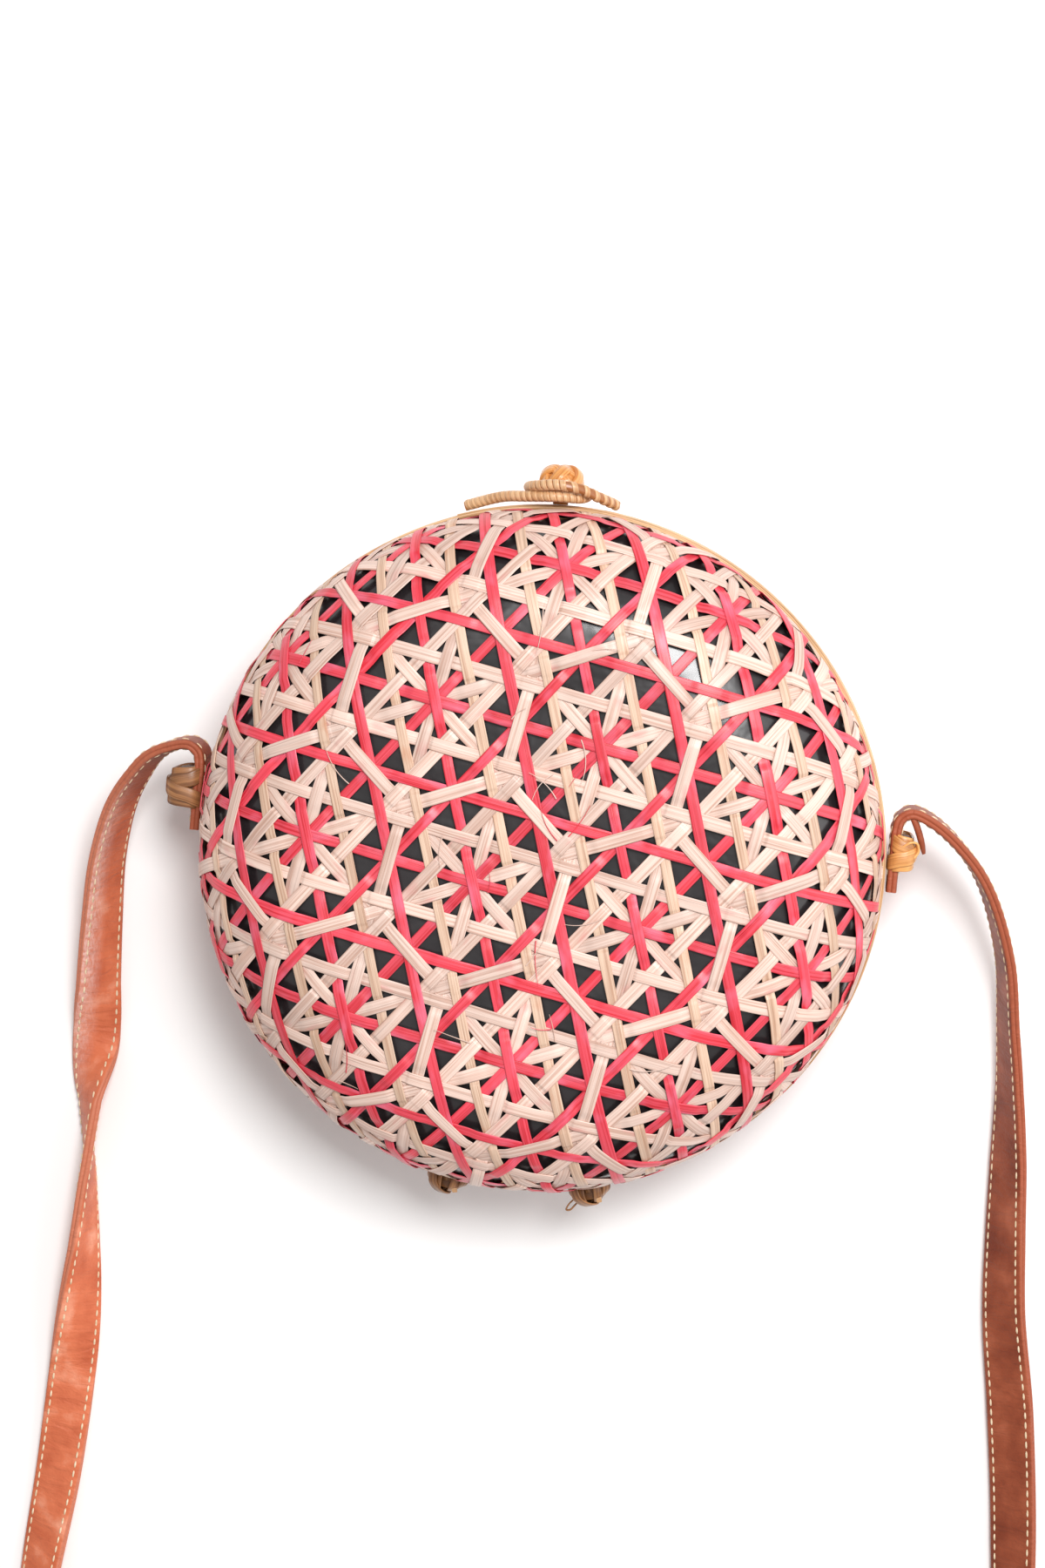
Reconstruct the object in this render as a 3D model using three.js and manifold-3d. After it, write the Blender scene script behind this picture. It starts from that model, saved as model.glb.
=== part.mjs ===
// Round crossbody bag of woven split cane, in millimetres.
// It lies on its back: +Z points out of the front face, +Y to the clasp and +X to the right.
// The origin is the middle of the flat back face that it rests on.

import * as THREE from "three";
import { mergeVertices } from "three/addons/utils/BufferGeometryUtils.js";
import Module from "manifold-3d";

const wasm = await Module();
wasm.setup();

// Driving sizes of the two woven halves
const WEAVE_RADIUS = 99; // widest part of a woven half
const HALF_DEPTH = 40; // from the mouth to the flat face
const FACE_RADIUS = 60; // flat middle of each face
const BAND_HEIGHT = 8.5; // upright band between the mouth and the round shoulder
const MOUTH_INSET = 1.6; // the weave draws in by this much inside its hoop
const WEAVE_WALL = 2;
const LINING_WALL = 1;

// Cane hoops round the two mouths
const HOOP_WIDTH = 4.4;
const HOOP_THICKNESS = 2.2;

// Star weave: the two steps from one star to the next, and the strips
const FIRST_STAR = { x: -15.2, y: -6.6 };
const STEP_ACROSS = { length: 48.6, bearing: -10.5 };
const STEP_DOWN = { length: 52.4, bearing: -73.5 };
const DYED_STRIP_WIDTH = 3.2;
const PLAIN_STRIP_WIDTH = 3.7;
const PIERCED_RADIUS = 84; // triangles that lie within it are cut through, out from the middle

// Clasp
const KNOB_RADIUS = 6.6;
const KNOB_HEIGHT = 10.6;
const KNOB_STEM_RADIUS = 2.2;
const KNOB_STEM_LENGTH = 0.9;
const KNOB_BEARING = 91.7;
const LOOP_RADIUS = 1.6;
const LOOP_START_BEARING = 107.4;
const LOOP_END_BEARING = 82.8;

// Cane lashings that serve as the hinge
const TIE_WIDTH = 12.4;
const TIE_PROTRUSION = 4.6;
const TIE_LIP = 1.5;
const TIE_BEARINGS = { left: -100.6, right: -76.6 };

// Leather strap and the lashings of its ends
const STRAP_WIDTH = 14.5;
const STRAP_THICKNESS = 3.2;
const STRAP_CORNER = 0.9;
const STRAP_END_DROP = 4; // middle of the lashed ends below the parting plane
const STRAP_END_TAIL = 6; // the end that stands out below the lashing
const STRAP_BEND = 5.6; // rise of its bend over the lashing
const BEND_ROUTE = [ // outwards and along the rim, in rises of the bend
  { out: 0, along: 0.1 },
  { out: 0.14, along: 0.65 },
  { out: 0.65, along: 1 },
];
const KNOT_WALL = 1.5;
const KNOTS = {
  left: { side: -1, middle: 8.4, length: 13, protrusion: 11 },
  right: { side: 1, middle: 9.4, length: 11.4, protrusion: 7.6 },
};
const TONGUE_LENGTH = 12; // loose end of the strap's outer layer at the right lashing
const TONGUE_WIDTH = 8;
const TONGUE_THICKNESS = 2.2;
const TONGUE_BEARING = -60;

// Clearances
const GAP = 0.3; // between pieces that touch on the real bag
const FLOOR_GAP = 0.05; // the lying strap over the floor

// Fineness of the round shapes
const ROUND_STEPS = 48;
const SHOULDER_STEPS = 5;
const KNOB_STEPS = 8;
const LOOP_STEPS = 44;
const LOOP_SIDES = 8;
const STRAP_STEPS = 2; // from one row of its table to the next

const dyedCane = new THREE.MeshStandardMaterial({ color: 0xe86a78, roughness: 0.55, metalness: 0 });
const plainCane = new THREE.MeshStandardMaterial({ color: 0xdfc3a2, roughness: 0.6, metalness: 0 });
const hoopCane = new THREE.MeshStandardMaterial({ color: 0xd9b389, roughness: 0.5, metalness: 0 });
const knotCane = new THREE.MeshStandardMaterial({ color: 0xa8703f, roughness: 0.55, metalness: 0 });
const amberCane = new THREE.MeshStandardMaterial({ color: 0xe0a355, roughness: 0.3, metalness: 0 });
const lining = new THREE.MeshStandardMaterial({ color: 0x35353a, roughness: 0.35, metalness: 0 });
const leather = new THREE.MeshStandardMaterial({ color: 0xb7603a, roughness: 0.5, metalness: 0 });

// Sizes that follow from the driving ones
const mouthHeight = GAP / 2; // each half stops this far from the parting plane
const hoopInner = WEAVE_RADIUS - MOUTH_INSET + GAP;
const hoopOuter = hoopInner + HOOP_THICKNESS;
const strapInner = hoopOuter + GAP;
const strapEndHeight = HALF_DEPTH - STRAP_END_DROP;
const toRadians = THREE.MathUtils.degToRad;

// Solids: a geometry as a closed solid facing out, and back
function solidOf(geometry) {
  const bare = geometry.index ? geometry.toNonIndexed() : geometry.clone();
  bare.deleteAttribute("normal");
  bare.deleteAttribute("uv");
  const merged = mergeVertices(bare, 1e-4);
  const solid = new wasm.Manifold(
    new wasm.Mesh({
      numProp: 3,
      vertProperties: new Float32Array(merged.attributes.position.array),
      triVerts: new Uint32Array(merged.index.array),
    }),
  );
  return solid;
}

function geometryOf(solid) {
  const mesh = solid.getMesh();
  const geometry = new THREE.BufferGeometry();
  geometry.setAttribute("position", new THREE.BufferAttribute(new Float32Array(mesh.vertProperties), 3));
  geometry.setIndex(new THREE.BufferAttribute(new Uint32Array(mesh.triVerts), 1));
  geometry.computeVertexNormals();
  return geometry;
}

function join(...geometries) {
  return geometryOf(geometries.map(solidOf).reduce((sum, next) => sum.add(next)));
}

function cut(geometry, ...tools) {
  return geometryOf(tools.map(solidOf).reduce((rest, next) => rest.subtract(next), solidOf(geometry)));
}

function piece(name, geometry, material) {
  const mesh = new THREE.Mesh(geometry, material);
  mesh.name = name;
  return mesh;
}

// A solid of revolution about +Z from radius and height pairs, listed from the axis outwards
function turned(profile) {
  const points = profile.map(([radius, height]) => new THREE.Vector2(radius, height));
  return new THREE.LatheGeometry(points, ROUND_STEPS).rotateX(Math.PI / 2);
}

// Half shell: heights count up from the parting plane, and inset is how far in the surface lies
function shellLine(inset) {
  const line = [[0, HALF_DEPTH - inset]];
  for (let step = 0; step <= SHOULDER_STEPS; step += 1) {
    const angle = (step / SHOULDER_STEPS) * (Math.PI / 2);
    const reach = WEAVE_RADIUS - FACE_RADIUS - inset;
    const rise = HALF_DEPTH - BAND_HEIGHT - inset;
    line.push([FACE_RADIUS + reach * Math.sin(angle), BAND_HEIGHT + rise * Math.cos(angle)]);
  }
  line.push([WEAVE_RADIUS - MOUTH_INSET - inset, mouthHeight + HOOP_WIDTH + GAP]);
  line.push([WEAVE_RADIUS - MOUTH_INSET - inset, mouthHeight]);
  return line;
}

function halfShell(outerInset, wall) {
  return turned([...shellLine(outerInset + wall), ...shellLine(outerInset).reverse()]);
}

// Star weave on the flat, then laid over the half shell along its slope
function starPlace(across, down) {
  const a = toRadians(STEP_ACROSS.bearing);
  const b = toRadians(STEP_DOWN.bearing);
  return new THREE.Vector2(
    FIRST_STAR.x + across * STEP_ACROSS.length * Math.cos(a) + down * STEP_DOWN.length * Math.cos(b),
    FIRST_STAR.y + across * STEP_ACROSS.length * Math.sin(a) + down * STEP_DOWN.length * Math.sin(b),
  );
}

// The radius on the shell that lies a given way along its outside from the middle
function radiusAlongShell(way) {
  const line = shellLine(0);
  let left = way;
  for (let i = 1; i < line.length; i += 1) {
    const [r0, h0] = line[i - 1];
    const [r1, h1] = line[i];
    const length = Math.hypot(r1 - r0, h1 - h0);
    if (left <= length) return r0 + ((r1 - r0) * left) / length;
    left -= length;
  }
  return WEAVE_RADIUS;
}

// The six steps round a crossing, in the order in which they lie, in quarters of a star step
const RING = [
  [1, 0],
  [1, -1],
  [0, -1],
  [-1, 0],
  [-1, 1],
  [0, 1],
];

// Open triangles: four beside the middle of each line from star to star
function openTriangles() {
  const triangles = [];
  const count = Math.ceil((2 * WEAVE_RADIUS) / Math.min(STEP_ACROSS.length, STEP_DOWN.length));
  for (let i = -count; i <= count; i += 1) {
    for (let j = -count; j <= count; j += 1) {
      for (const edge of [0, 1, 5]) {
        const middle = [i + RING[edge][0] / 2, j + RING[edge][1] / 2];
        for (const way of [edge, (edge + 3) % 6]) {
          for (const side of [1, 5]) {
            const first = RING[way];
            const second = RING[(way + side) % 6];
            triangles.push([
              starPlace(middle[0], middle[1]),
              starPlace(middle[0] + first[0] / 4, middle[1] + first[1] / 4),
              starPlace(middle[0] + second[0] / 4, middle[1] + second[1] / 4),
            ]);
          }
        }
      }
    }
  }
  return triangles;
}

// A triangle drawn in on each side by the half width of the strips that bound it
function drawnIn(corners, margin) {
  const sides = corners.map((_, i) => corners[(i + 1) % 3].distanceTo(corners[(i + 2) % 3]));
  const around = sides[0] + sides[1] + sides[2];
  const centre = new THREE.Vector2();
  corners.forEach((corner, i) => centre.addScaledVector(corner, sides[i] / around));
  const ab = corners[1].clone().sub(corners[0]);
  const ac = corners[2].clone().sub(corners[0]);
  const inradius = Math.abs(ab.cross(ac)) / around;
  return corners.map((corner) => corner.clone().lerp(centre, margin / inradius));
}

function weaveGaps() {
  const margin = (DYED_STRIP_WIDTH + PLAIN_STRIP_WIDTH) / 4;
  const gaps = [];
  for (const triangle of openTriangles()) {
    const corners = drawnIn(triangle, margin).map((corner) => {
      const way = corner.length();
      return corner.clone().multiplyScalar(radiusAlongShell(way) / way);
    });
    if (Math.max(...corners.map((corner) => corner.length())) < PIERCED_RADIUS) {
      const gap = new THREE.ExtrudeGeometry(new THREE.Shape(corners), {
        depth: HALF_DEPTH,
        bevelEnabled: false,
      });
      gaps.push(gap.translate(0, 0, BAND_HEIGHT));
    }
  }
  return gaps;
}

// A flat outline in radius and height, carried a given width along the rim at a bearing
function rimPiece(outline, width, bearing) {
  const shape = new THREE.Shape(outline.map(([radius, height]) => new THREE.Vector2(radius, height)));
  const geometry = new THREE.ExtrudeGeometry(shape, { depth: width, bevelEnabled: false });
  return geometry
    .translate(0, 0, -width / 2)
    .rotateX(Math.PI / 2)
    .rotateZ(toRadians(bearing));
}

// Hinge lashing: a band outside both hoops with a lip over each
function hingeTie(bearing) {
  const inner = hoopOuter + GAP;
  const outer = inner + TIE_PROTRUSION;
  const lipReach = inner - HOOP_THICKNESS / 2;
  const hoopTop = HALF_DEPTH + mouthHeight + HOOP_WIDTH + GAP;
  const hoopBottom = 2 * HALF_DEPTH - hoopTop;
  const slope = TIE_PROTRUSION / 3;
  const outline = [
    [lipReach, hoopBottom],
    [lipReach, hoopBottom - TIE_LIP],
    [outer - slope, hoopBottom - TIE_LIP],
    [outer, HALF_DEPTH - HOOP_WIDTH / 2],
    [outer, HALF_DEPTH + HOOP_WIDTH / 2],
    [outer - slope, hoopTop + TIE_LIP],
    [lipReach, hoopTop + TIE_LIP],
    [lipReach, hoopTop],
    [inner, hoopTop],
    [inner, hoopBottom],
  ];
  return rimPiece(outline, TIE_WIDTH, bearing);
}

// Side lashing: a faceted lump of cane round the strap's end
function strapKnot({ side, middle, length, protrusion }) {
  const inner = strapInner;
  const outer = inner + protrusion;
  const facet = length / 4;
  const low = strapEndHeight - STRAP_WIDTH / 2 - GAP - KNOT_WALL;
  const high = strapEndHeight + STRAP_WIDTH / 2 + GAP + KNOT_WALL;
  const outline = [
    [inner, -length / 2 + facet / 2],
    [inner + facet, -length / 2],
    [outer - facet, -length / 2],
    [outer, -facet / 2],
    [outer - facet / 2, length / 2 - facet],
    [outer - facet, length / 2],
    [inner, length / 2],
  ];
  const shape = new THREE.Shape(outline.map(([out, along]) => new THREE.Vector2(side * out, along + middle)));
  const lump = new THREE.ExtrudeGeometry(shape, { depth: high - low, bevelEnabled: false });
  lump.translate(0, 0, low);
  const slotDepth = 2 * (STRAP_THICKNESS + GAP);
  const slot = new THREE.BoxGeometry(slotDepth, 2 * length, STRAP_WIDTH + 2 * GAP);
  slot.translate(side * inner, middle, strapEndHeight);
  return cut(lump, slot);
}

// Clasp knob on its stem, its axis pointing out of the rim
function clasp() {
  const line = [[0, 0], [KNOB_STEM_RADIUS, 0]];
  for (let step = 1; step < KNOB_STEPS; step += 1) {
    const angle = (step / KNOB_STEPS) * Math.PI;
    const radius = KNOB_RADIUS * Math.sin(angle);
    const height = KNOB_STEM_LENGTH + (KNOB_HEIGHT / 2) * (1 - Math.cos(angle));
    line.push([Math.max(radius, KNOB_STEM_RADIUS), height]);
  }
  line.push([0, KNOB_STEM_LENGTH + KNOB_HEIGHT]);
  const points = line.map(([radius, height]) => new THREE.Vector2(radius, height));
  return new THREE.LatheGeometry(points, 2 * KNOB_STEPS)
    .rotateZ(-Math.PI / 2)
    .translate(hoopOuter + GAP, 0, HALF_DEPTH + mouthHeight + HOOP_WIDTH / 2)
    .rotateZ(toRadians(KNOB_BEARING));
}

// Clasp loop: from the back hoop along the rim, round the knob and back to the hoop.
// across counts from the knob's axis in knob radii, out from the touching distance in loop
// radii, and up from the middle of the knob in knob radii.
const LOOP_ROUTE = [
  { across: -2.5, out: 0.5, up: 0.2 },
  { across: -1.45, out: 0.3, up: 0.75 },
  { across: -0.1, out: 0.3, up: 1.1 },
  { across: 0.9, out: 0.35, up: 0.72 },
  { across: 1.15, out: 0.85, up: -0.15 },
  { across: 0.85, out: 1.3, up: -1.0 },
  { across: -0.1, out: 1.4, up: -1.3 },
  { across: -1.0, out: 1.6, up: -0.85 },
  { across: -1.42, out: 1.9, up: -0.05 },
  { across: -1.0, out: 2.15, up: 1.0 },
  { across: -0.1, out: 2.4, up: 1.4 },
  { across: 0.9, out: 2.0, up: 1.25 },
  { across: 1.65, out: 1.0, up: 0.7 },
];

function claspLoop() {
  const touching = hoopOuter + GAP + LOOP_RADIUS;
  const knobMiddle = HALF_DEPTH + mouthHeight + HOOP_WIDTH / 2;
  const backHoopMiddle = HALF_DEPTH - mouthHeight - HOOP_WIDTH / 2;
  const knobX = touching * Math.cos(toRadians(KNOB_BEARING));
  const atRim = (bearing) =>
    new THREE.Vector3(
      touching * Math.cos(toRadians(bearing)),
      touching * Math.sin(toRadians(bearing)),
      backHoopMiddle,
    );
  const along = LOOP_ROUTE.map(({ across, out, up }) => {
    const x = knobX + across * KNOB_RADIUS;
    const y = Math.sqrt(touching * touching - x * x) + out * LOOP_RADIUS;
    return new THREE.Vector3(x, y, knobMiddle + up * KNOB_RADIUS);
  });
  const route = new THREE.CatmullRomCurve3([
    atRim(LOOP_START_BEARING),
    ...along,
    atRim(LOOP_END_BEARING),
  ]);
  const section = new THREE.Shape();
  section.absarc(0, 0, LOOP_RADIUS, 0, 2 * Math.PI);
  return new THREE.ExtrudeGeometry(section, {
    steps: LOOP_STEPS,
    curveSegments: LOOP_SIDES / 2,
    extrudePath: route,
  });
}

// Strap: out and north place its middle in weave radii, lift is the height of its lower side
// over the floor in strap widths, and turn is 90 where it stands on edge with its inner face
// to the bag, 0 where that face lies up, and on past -180 where the strap has turned over.
const STRAP_ROUTE = [
  { out: -1.12, north: 0.197, lift: 1.93, turn: 90 },
  { out: -1.18, north: 0.162, lift: 1.82, turn: 84 },
  { out: -1.23, north: 0.1, lift: 1.6, turn: 78 },
  { out: -1.29, north: -0.01, lift: 1.2, turn: 70 },
  { out: -1.335, north: -0.185, lift: 0.7, turn: 61 },
  { out: -1.35, north: -0.37, lift: 0.35, turn: 52 },
  { out: -1.355, north: -0.6, lift: 0.1, turn: 40 },
  { out: -1.36, north: -0.78, lift: 0, turn: 2 },
  { out: -1.355, north: -0.96, lift: 0, turn: -58 },
  { out: -1.345, north: -1.2, lift: 0, turn: -90 },
  { out: -1.34, north: -1.42, lift: 0, turn: -112 },
  { out: -1.345, north: -1.66, lift: 0, turn: -145 },
  { out: -1.355, north: -1.83, lift: 0, turn: -168 },
  { out: -1.375, north: -2.15, lift: 0, turn: -190 },
  { out: -1.41, north: -2.55, lift: 0, turn: -215 },
  { out: -1.41, north: -2.98, lift: 0, turn: -238 },
  { out: -1.33, north: -3.42, lift: 0, turn: -255 },
  { out: -1.13, north: -3.85, lift: 0, turn: -265 },
  { out: -0.82, north: -4.21, lift: 0, turn: -270 },
  { out: -0.4, north: -4.47, lift: 0, turn: -270 },
  { out: 0.08, north: -4.56, lift: 0, turn: -270 },
  { out: 0.56, north: -4.47, lift: 0, turn: -270 },
  { out: 0.98, north: -4.21, lift: 0, turn: -270 },
  { out: 1.29, north: -3.84, lift: 0, turn: -272 },
  { out: 1.5, north: -3.4, lift: 0, turn: -278 },
  { out: 1.6, north: -2.95, lift: 0, turn: -292 },
  { out: 1.63, north: -2.48, lift: 0, turn: -312 },
  { out: 1.6, north: -2.02, lift: 0, turn: -330 },
  { out: 1.55, north: -1.62, lift: 0, turn: -334 },
  { out: 1.5, north: -1.32, lift: 0.02, turn: -322 },
  { out: 1.48, north: -1.08, lift: 0.04, turn: -315 },
  { out: 1.465, north: -0.85, lift: 0.08, turn: -308 },
  { out: 1.445, north: -0.62, lift: 0.16, turn: -294 },
  { out: 1.42, north: -0.43, lift: 0.35, turn: -287 },
  { out: 1.385, north: -0.21, lift: 0.75, turn: -282 },
  { out: 1.3, north: 0.01, lift: 1.3, turn: -276 },
  { out: 1.205, north: 0.128, lift: 1.65, turn: -272 },
  { out: 1.115, north: 0.195, lift: 1.93, turn: -270 },
];

// The lashed ends run along the rim and bend outwards over the knots
function strapEnd({ side, middle, length }, turn) {
  const x = side * (strapInner + STRAP_THICKNESS / 2);
  const low = middle - length / 2;
  const high = middle + length / 2;
  const bend = BEND_ROUTE.map(({ out, along }) => [x + side * out * STRAP_BEND, high + along * STRAP_BEND]);
  const places = [[x, low - STRAP_END_TAIL], [x, low], [x, middle], ...bend];
  return places.map(([east, north]) => ({
    place: new THREE.Vector3(east, north, strapEndHeight),
    turn,
  }));
}

function strapRows() {
  const lying = STRAP_ROUTE.map(({ out, north, lift, turn }) => {
    const angle = toRadians(turn);
    const across = (STRAP_WIDTH / 2) * Math.abs(Math.sin(angle));
    const through = (STRAP_THICKNESS / 2) * Math.abs(Math.cos(angle));
    const z = Math.min(across + through + FLOOR_GAP + lift * STRAP_WIDTH, strapEndHeight);
    return { place: new THREE.Vector3(out * WEAVE_RADIUS, north * WEAVE_RADIUS, z), turn };
  });
  return [
    ...strapEnd(KNOTS.left, STRAP_ROUTE[0].turn),
    ...lying,
    ...strapEnd(KNOTS.right, STRAP_ROUTE[STRAP_ROUTE.length - 1].turn).reverse(),
  ];
}

// A straight band of the strap's section, then bent along the rows
function strapBand() {
  const rows = strapRows();
  const route = new THREE.CatmullRomCurve3(rows.map(({ place }) => place), false, "centripetal");
  const width = STRAP_WIDTH / 2;
  const depth = STRAP_THICKNESS / 2;
  const section = new THREE.Shape([
    new THREE.Vector2(-width, -depth + STRAP_CORNER),
    new THREE.Vector2(-width + STRAP_CORNER, -depth),
    new THREE.Vector2(width - STRAP_CORNER, -depth),
    new THREE.Vector2(width, -depth + STRAP_CORNER),
    new THREE.Vector2(width, depth - STRAP_CORNER),
    new THREE.Vector2(width - STRAP_CORNER, depth),
    new THREE.Vector2(-width + STRAP_CORNER, depth),
    new THREE.Vector2(-width, depth - STRAP_CORNER),
  ]);
  const spans = rows.length - 1;
  const steps = spans * STRAP_STEPS;
  const band = new THREE.ExtrudeGeometry(section, { depth: 1, steps, bevelEnabled: false });
  const position = band.attributes.position;
  const up = new THREE.Vector3(0, 0, 1);
  for (let i = 0; i < position.count; i += 1) {
    const share = position.getZ(i);
    const row = Math.min(Math.floor(share * spans), spans - 1);
    const turn = THREE.MathUtils.lerp(rows[row].turn, rows[row + 1].turn, share * spans - row);
    const ahead = route.getTangent(share);
    const inward = new THREE.Vector3().crossVectors(up, ahead).normalize();
    const above = new THREE.Vector3().crossVectors(ahead, inward);
    const face = above.clone().multiplyScalar(Math.cos(toRadians(turn)));
    face.addScaledVector(inward, Math.sin(toRadians(turn)));
    const across = new THREE.Vector3().crossVectors(face, ahead);
    const point = route.getPoint(share);
    point.addScaledVector(across, position.getX(i));
    point.addScaledVector(face, position.getY(i));
    position.setXYZ(i, point.x, point.y, point.z);
  }
  return band;
}

// Loose tongue of leather that hangs from the middle of the bend over a lashing
function strapTongue(knot) {
  const bend = strapEnd(knot, 0).at(-1).place;
  const shape = new THREE.Shape([
    new THREE.Vector2(0, -TONGUE_THICKNESS / 2),
    new THREE.Vector2(TONGUE_LENGTH, -TONGUE_THICKNESS / 4),
    new THREE.Vector2(TONGUE_LENGTH, TONGUE_THICKNESS / 4),
    new THREE.Vector2(0, TONGUE_THICKNESS / 2),
  ]);
  return new THREE.ExtrudeGeometry(shape, { depth: TONGUE_WIDTH, bevelEnabled: false })
    .rotateZ(toRadians(TONGUE_BEARING))
    .translate(bend.x, bend.y, bend.z + STRAP_WIDTH / 2 - STRAP_CORNER - TONGUE_WIDTH);
}

const bag = new THREE.Group();

const backHalf = new THREE.Group();
backHalf.position.z = HALF_DEPTH;
backHalf.rotation.x = Math.PI;
backHalf.add(piece("back_weave", halfShell(0, WEAVE_WALL), plainCane));
backHalf.add(piece("back_lining", halfShell(WEAVE_WALL + GAP, LINING_WALL), lining));
bag.add(backHalf);

const frontHalf = new THREE.Group();
frontHalf.position.z = HALF_DEPTH;
frontHalf.add(piece("front_weave", cut(halfShell(0, WEAVE_WALL), ...weaveGaps()), dyedCane));
frontHalf.add(piece("front_lining", halfShell(WEAVE_WALL + GAP, LINING_WALL), lining));
bag.add(frontHalf);

function hoop() {
  return turned([
    [hoopInner, mouthHeight],
    [hoopOuter, mouthHeight],
    [hoopOuter, mouthHeight + HOOP_WIDTH],
    [hoopInner, mouthHeight + HOOP_WIDTH],
    [hoopInner, mouthHeight],
  ]);
}

backHalf.add(piece("back_hoop", hoop(), hoopCane));
frontHalf.add(piece("front_hoop", hoop(), hoopCane));
bag.add(piece("knob", clasp(), amberCane));
bag.add(piece("clasp_loop", claspLoop(), hoopCane));
for (const [side, bearing] of Object.entries(TIE_BEARINGS)) {
  bag.add(piece("hinge_tie_" + side, hingeTie(bearing), knotCane));
}
for (const [side, knot] of Object.entries(KNOTS)) {
  bag.add(piece("strap_knot_" + side, strapKnot(knot), knotCane));
}
bag.add(piece("strap", join(strapBand(), strapTongue(KNOTS.right)), leather));

export default bag;
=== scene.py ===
import math
import random

import bpy
import numpy as np
from mathutils import Matrix, Vector, noise


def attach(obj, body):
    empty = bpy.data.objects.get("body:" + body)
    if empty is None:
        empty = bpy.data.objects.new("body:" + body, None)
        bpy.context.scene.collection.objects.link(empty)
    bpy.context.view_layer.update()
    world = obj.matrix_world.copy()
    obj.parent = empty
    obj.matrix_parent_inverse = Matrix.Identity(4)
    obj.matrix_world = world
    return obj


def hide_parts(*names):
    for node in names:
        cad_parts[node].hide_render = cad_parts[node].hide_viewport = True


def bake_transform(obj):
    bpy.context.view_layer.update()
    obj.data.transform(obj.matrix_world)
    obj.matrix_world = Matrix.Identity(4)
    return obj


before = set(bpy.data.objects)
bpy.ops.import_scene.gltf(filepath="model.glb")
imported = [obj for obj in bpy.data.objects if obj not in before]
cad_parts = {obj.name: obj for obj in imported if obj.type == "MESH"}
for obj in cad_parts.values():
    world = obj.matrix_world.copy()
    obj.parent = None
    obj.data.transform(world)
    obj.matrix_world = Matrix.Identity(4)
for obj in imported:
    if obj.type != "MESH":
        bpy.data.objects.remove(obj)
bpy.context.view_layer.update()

# The linings. Each half of the bag has a dish of smooth dark coated cloth behind its weave,
# turned out over the strips' ends at the mouth and glued to the hoop, and a little wrinkled.
# It shows as dark glossy triangles between the strips.
MM = 0.001  # all sizes are in millimetres until a mesh is made
WEAVE_RADIUS = 99.0
FACE_RADIUS = 60.0
HALF_DEPTH = 40.0
BAND_HEIGHT = 8.5
MOUTH_RADIUS = 97.4
MOUTH_RIM = 4.85
MOUTH_HEIGHT = 0.15
LINING_INSET = 2.3
LINING_WALL = 1.0
LINING_LIP = 0.4
LINING_LIP_RADIUS = 97.55
LINING_LIP_EDGE = ((0.1, 1), (0, 0.75), (0, 0.25), (0.1, 0))  # drawn in, and share of its height
LINING_WRINKLE = 0.7
LINING_WRINKLE_SIZE = 26.0
LINING_PULL = 10.0  # wrinkles draw the cloth to this height on the axis
LINING_STEPS = 24
LINING_ROUND_STEPS = 144
LINING_COLOURS = ((0.3, (26, 23, 25)), (0.7, (44, 38, 40)))
HALVES = (("front", "lid"), ("back", "back_half"))


def linear(*screen):
    """A screen colour, 0 to 255, as a scene colour with alpha."""
    return (*(((c / 255 + 0.055) / 1.055) ** 2.4 if c > 10 else c / 3294 for c in screen), 1.0)


def add_node(tree, kind, inputs=None, **settings):
    """A node with its settings, its inputs set to values or linked to sockets."""
    node = tree.nodes.new(kind)
    for name, value in settings.items():
        setattr(node, name, value)
    for key, value in (inputs or {}).items():
        if isinstance(value, bpy.types.NodeSocket):
            tree.links.new(value, node.inputs[key])
        else:
            node.inputs[key].default_value = value
    return node


def new_finish(name, roughness, **shader_values):
    """A material with one plain shader: returns it, its tree and its shader."""
    finish = bpy.data.materials.new(name)
    finish.use_nodes = True
    tree = finish.node_tree
    tree.nodes.clear()
    shader = add_node(tree, "ShaderNodeBsdfPrincipled", {"Roughness": roughness})
    for key, value in shader_values.items():
        shader.inputs[key.replace("_", " ")].default_value = value
    output = add_node(tree, "ShaderNodeOutputMaterial")
    tree.links.new(shader.outputs["BSDF"], output.inputs["Surface"])
    return finish, tree, shader


def colour_ramp(tree, value, *stops):
    """Colours over a value, from pairs of a place and a screen colour."""
    node = add_node(tree, "ShaderNodeValToRGB", {"Fac": value})
    elements = node.color_ramp.elements
    while len(elements) < len(stops):
        elements.new(0.5)
    for element, (place, colour) in zip(elements, stops):
        element.position = place
        element.color = linear(*colour)
    return node.outputs["Color"]


def clouds(tree, place, scale, detail, distortion=0.0):
    """A soft random pattern over a place."""
    values = {"Vector": place, "Scale": scale, "Detail": detail, "Distortion": distortion}
    return add_node(tree, "ShaderNodeTexNoise", values).outputs["Fac"]


def relief(tree, height, strength, distance, under=None):
    """A fine relief as a normal, laid over another one if it is given."""
    values = {"Height": height, "Strength": strength, "Distance": distance}
    if under is not None:
        values["Normal"] = under
    return add_node(tree, "ShaderNodeBump", values).outputs["Normal"]


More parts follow.
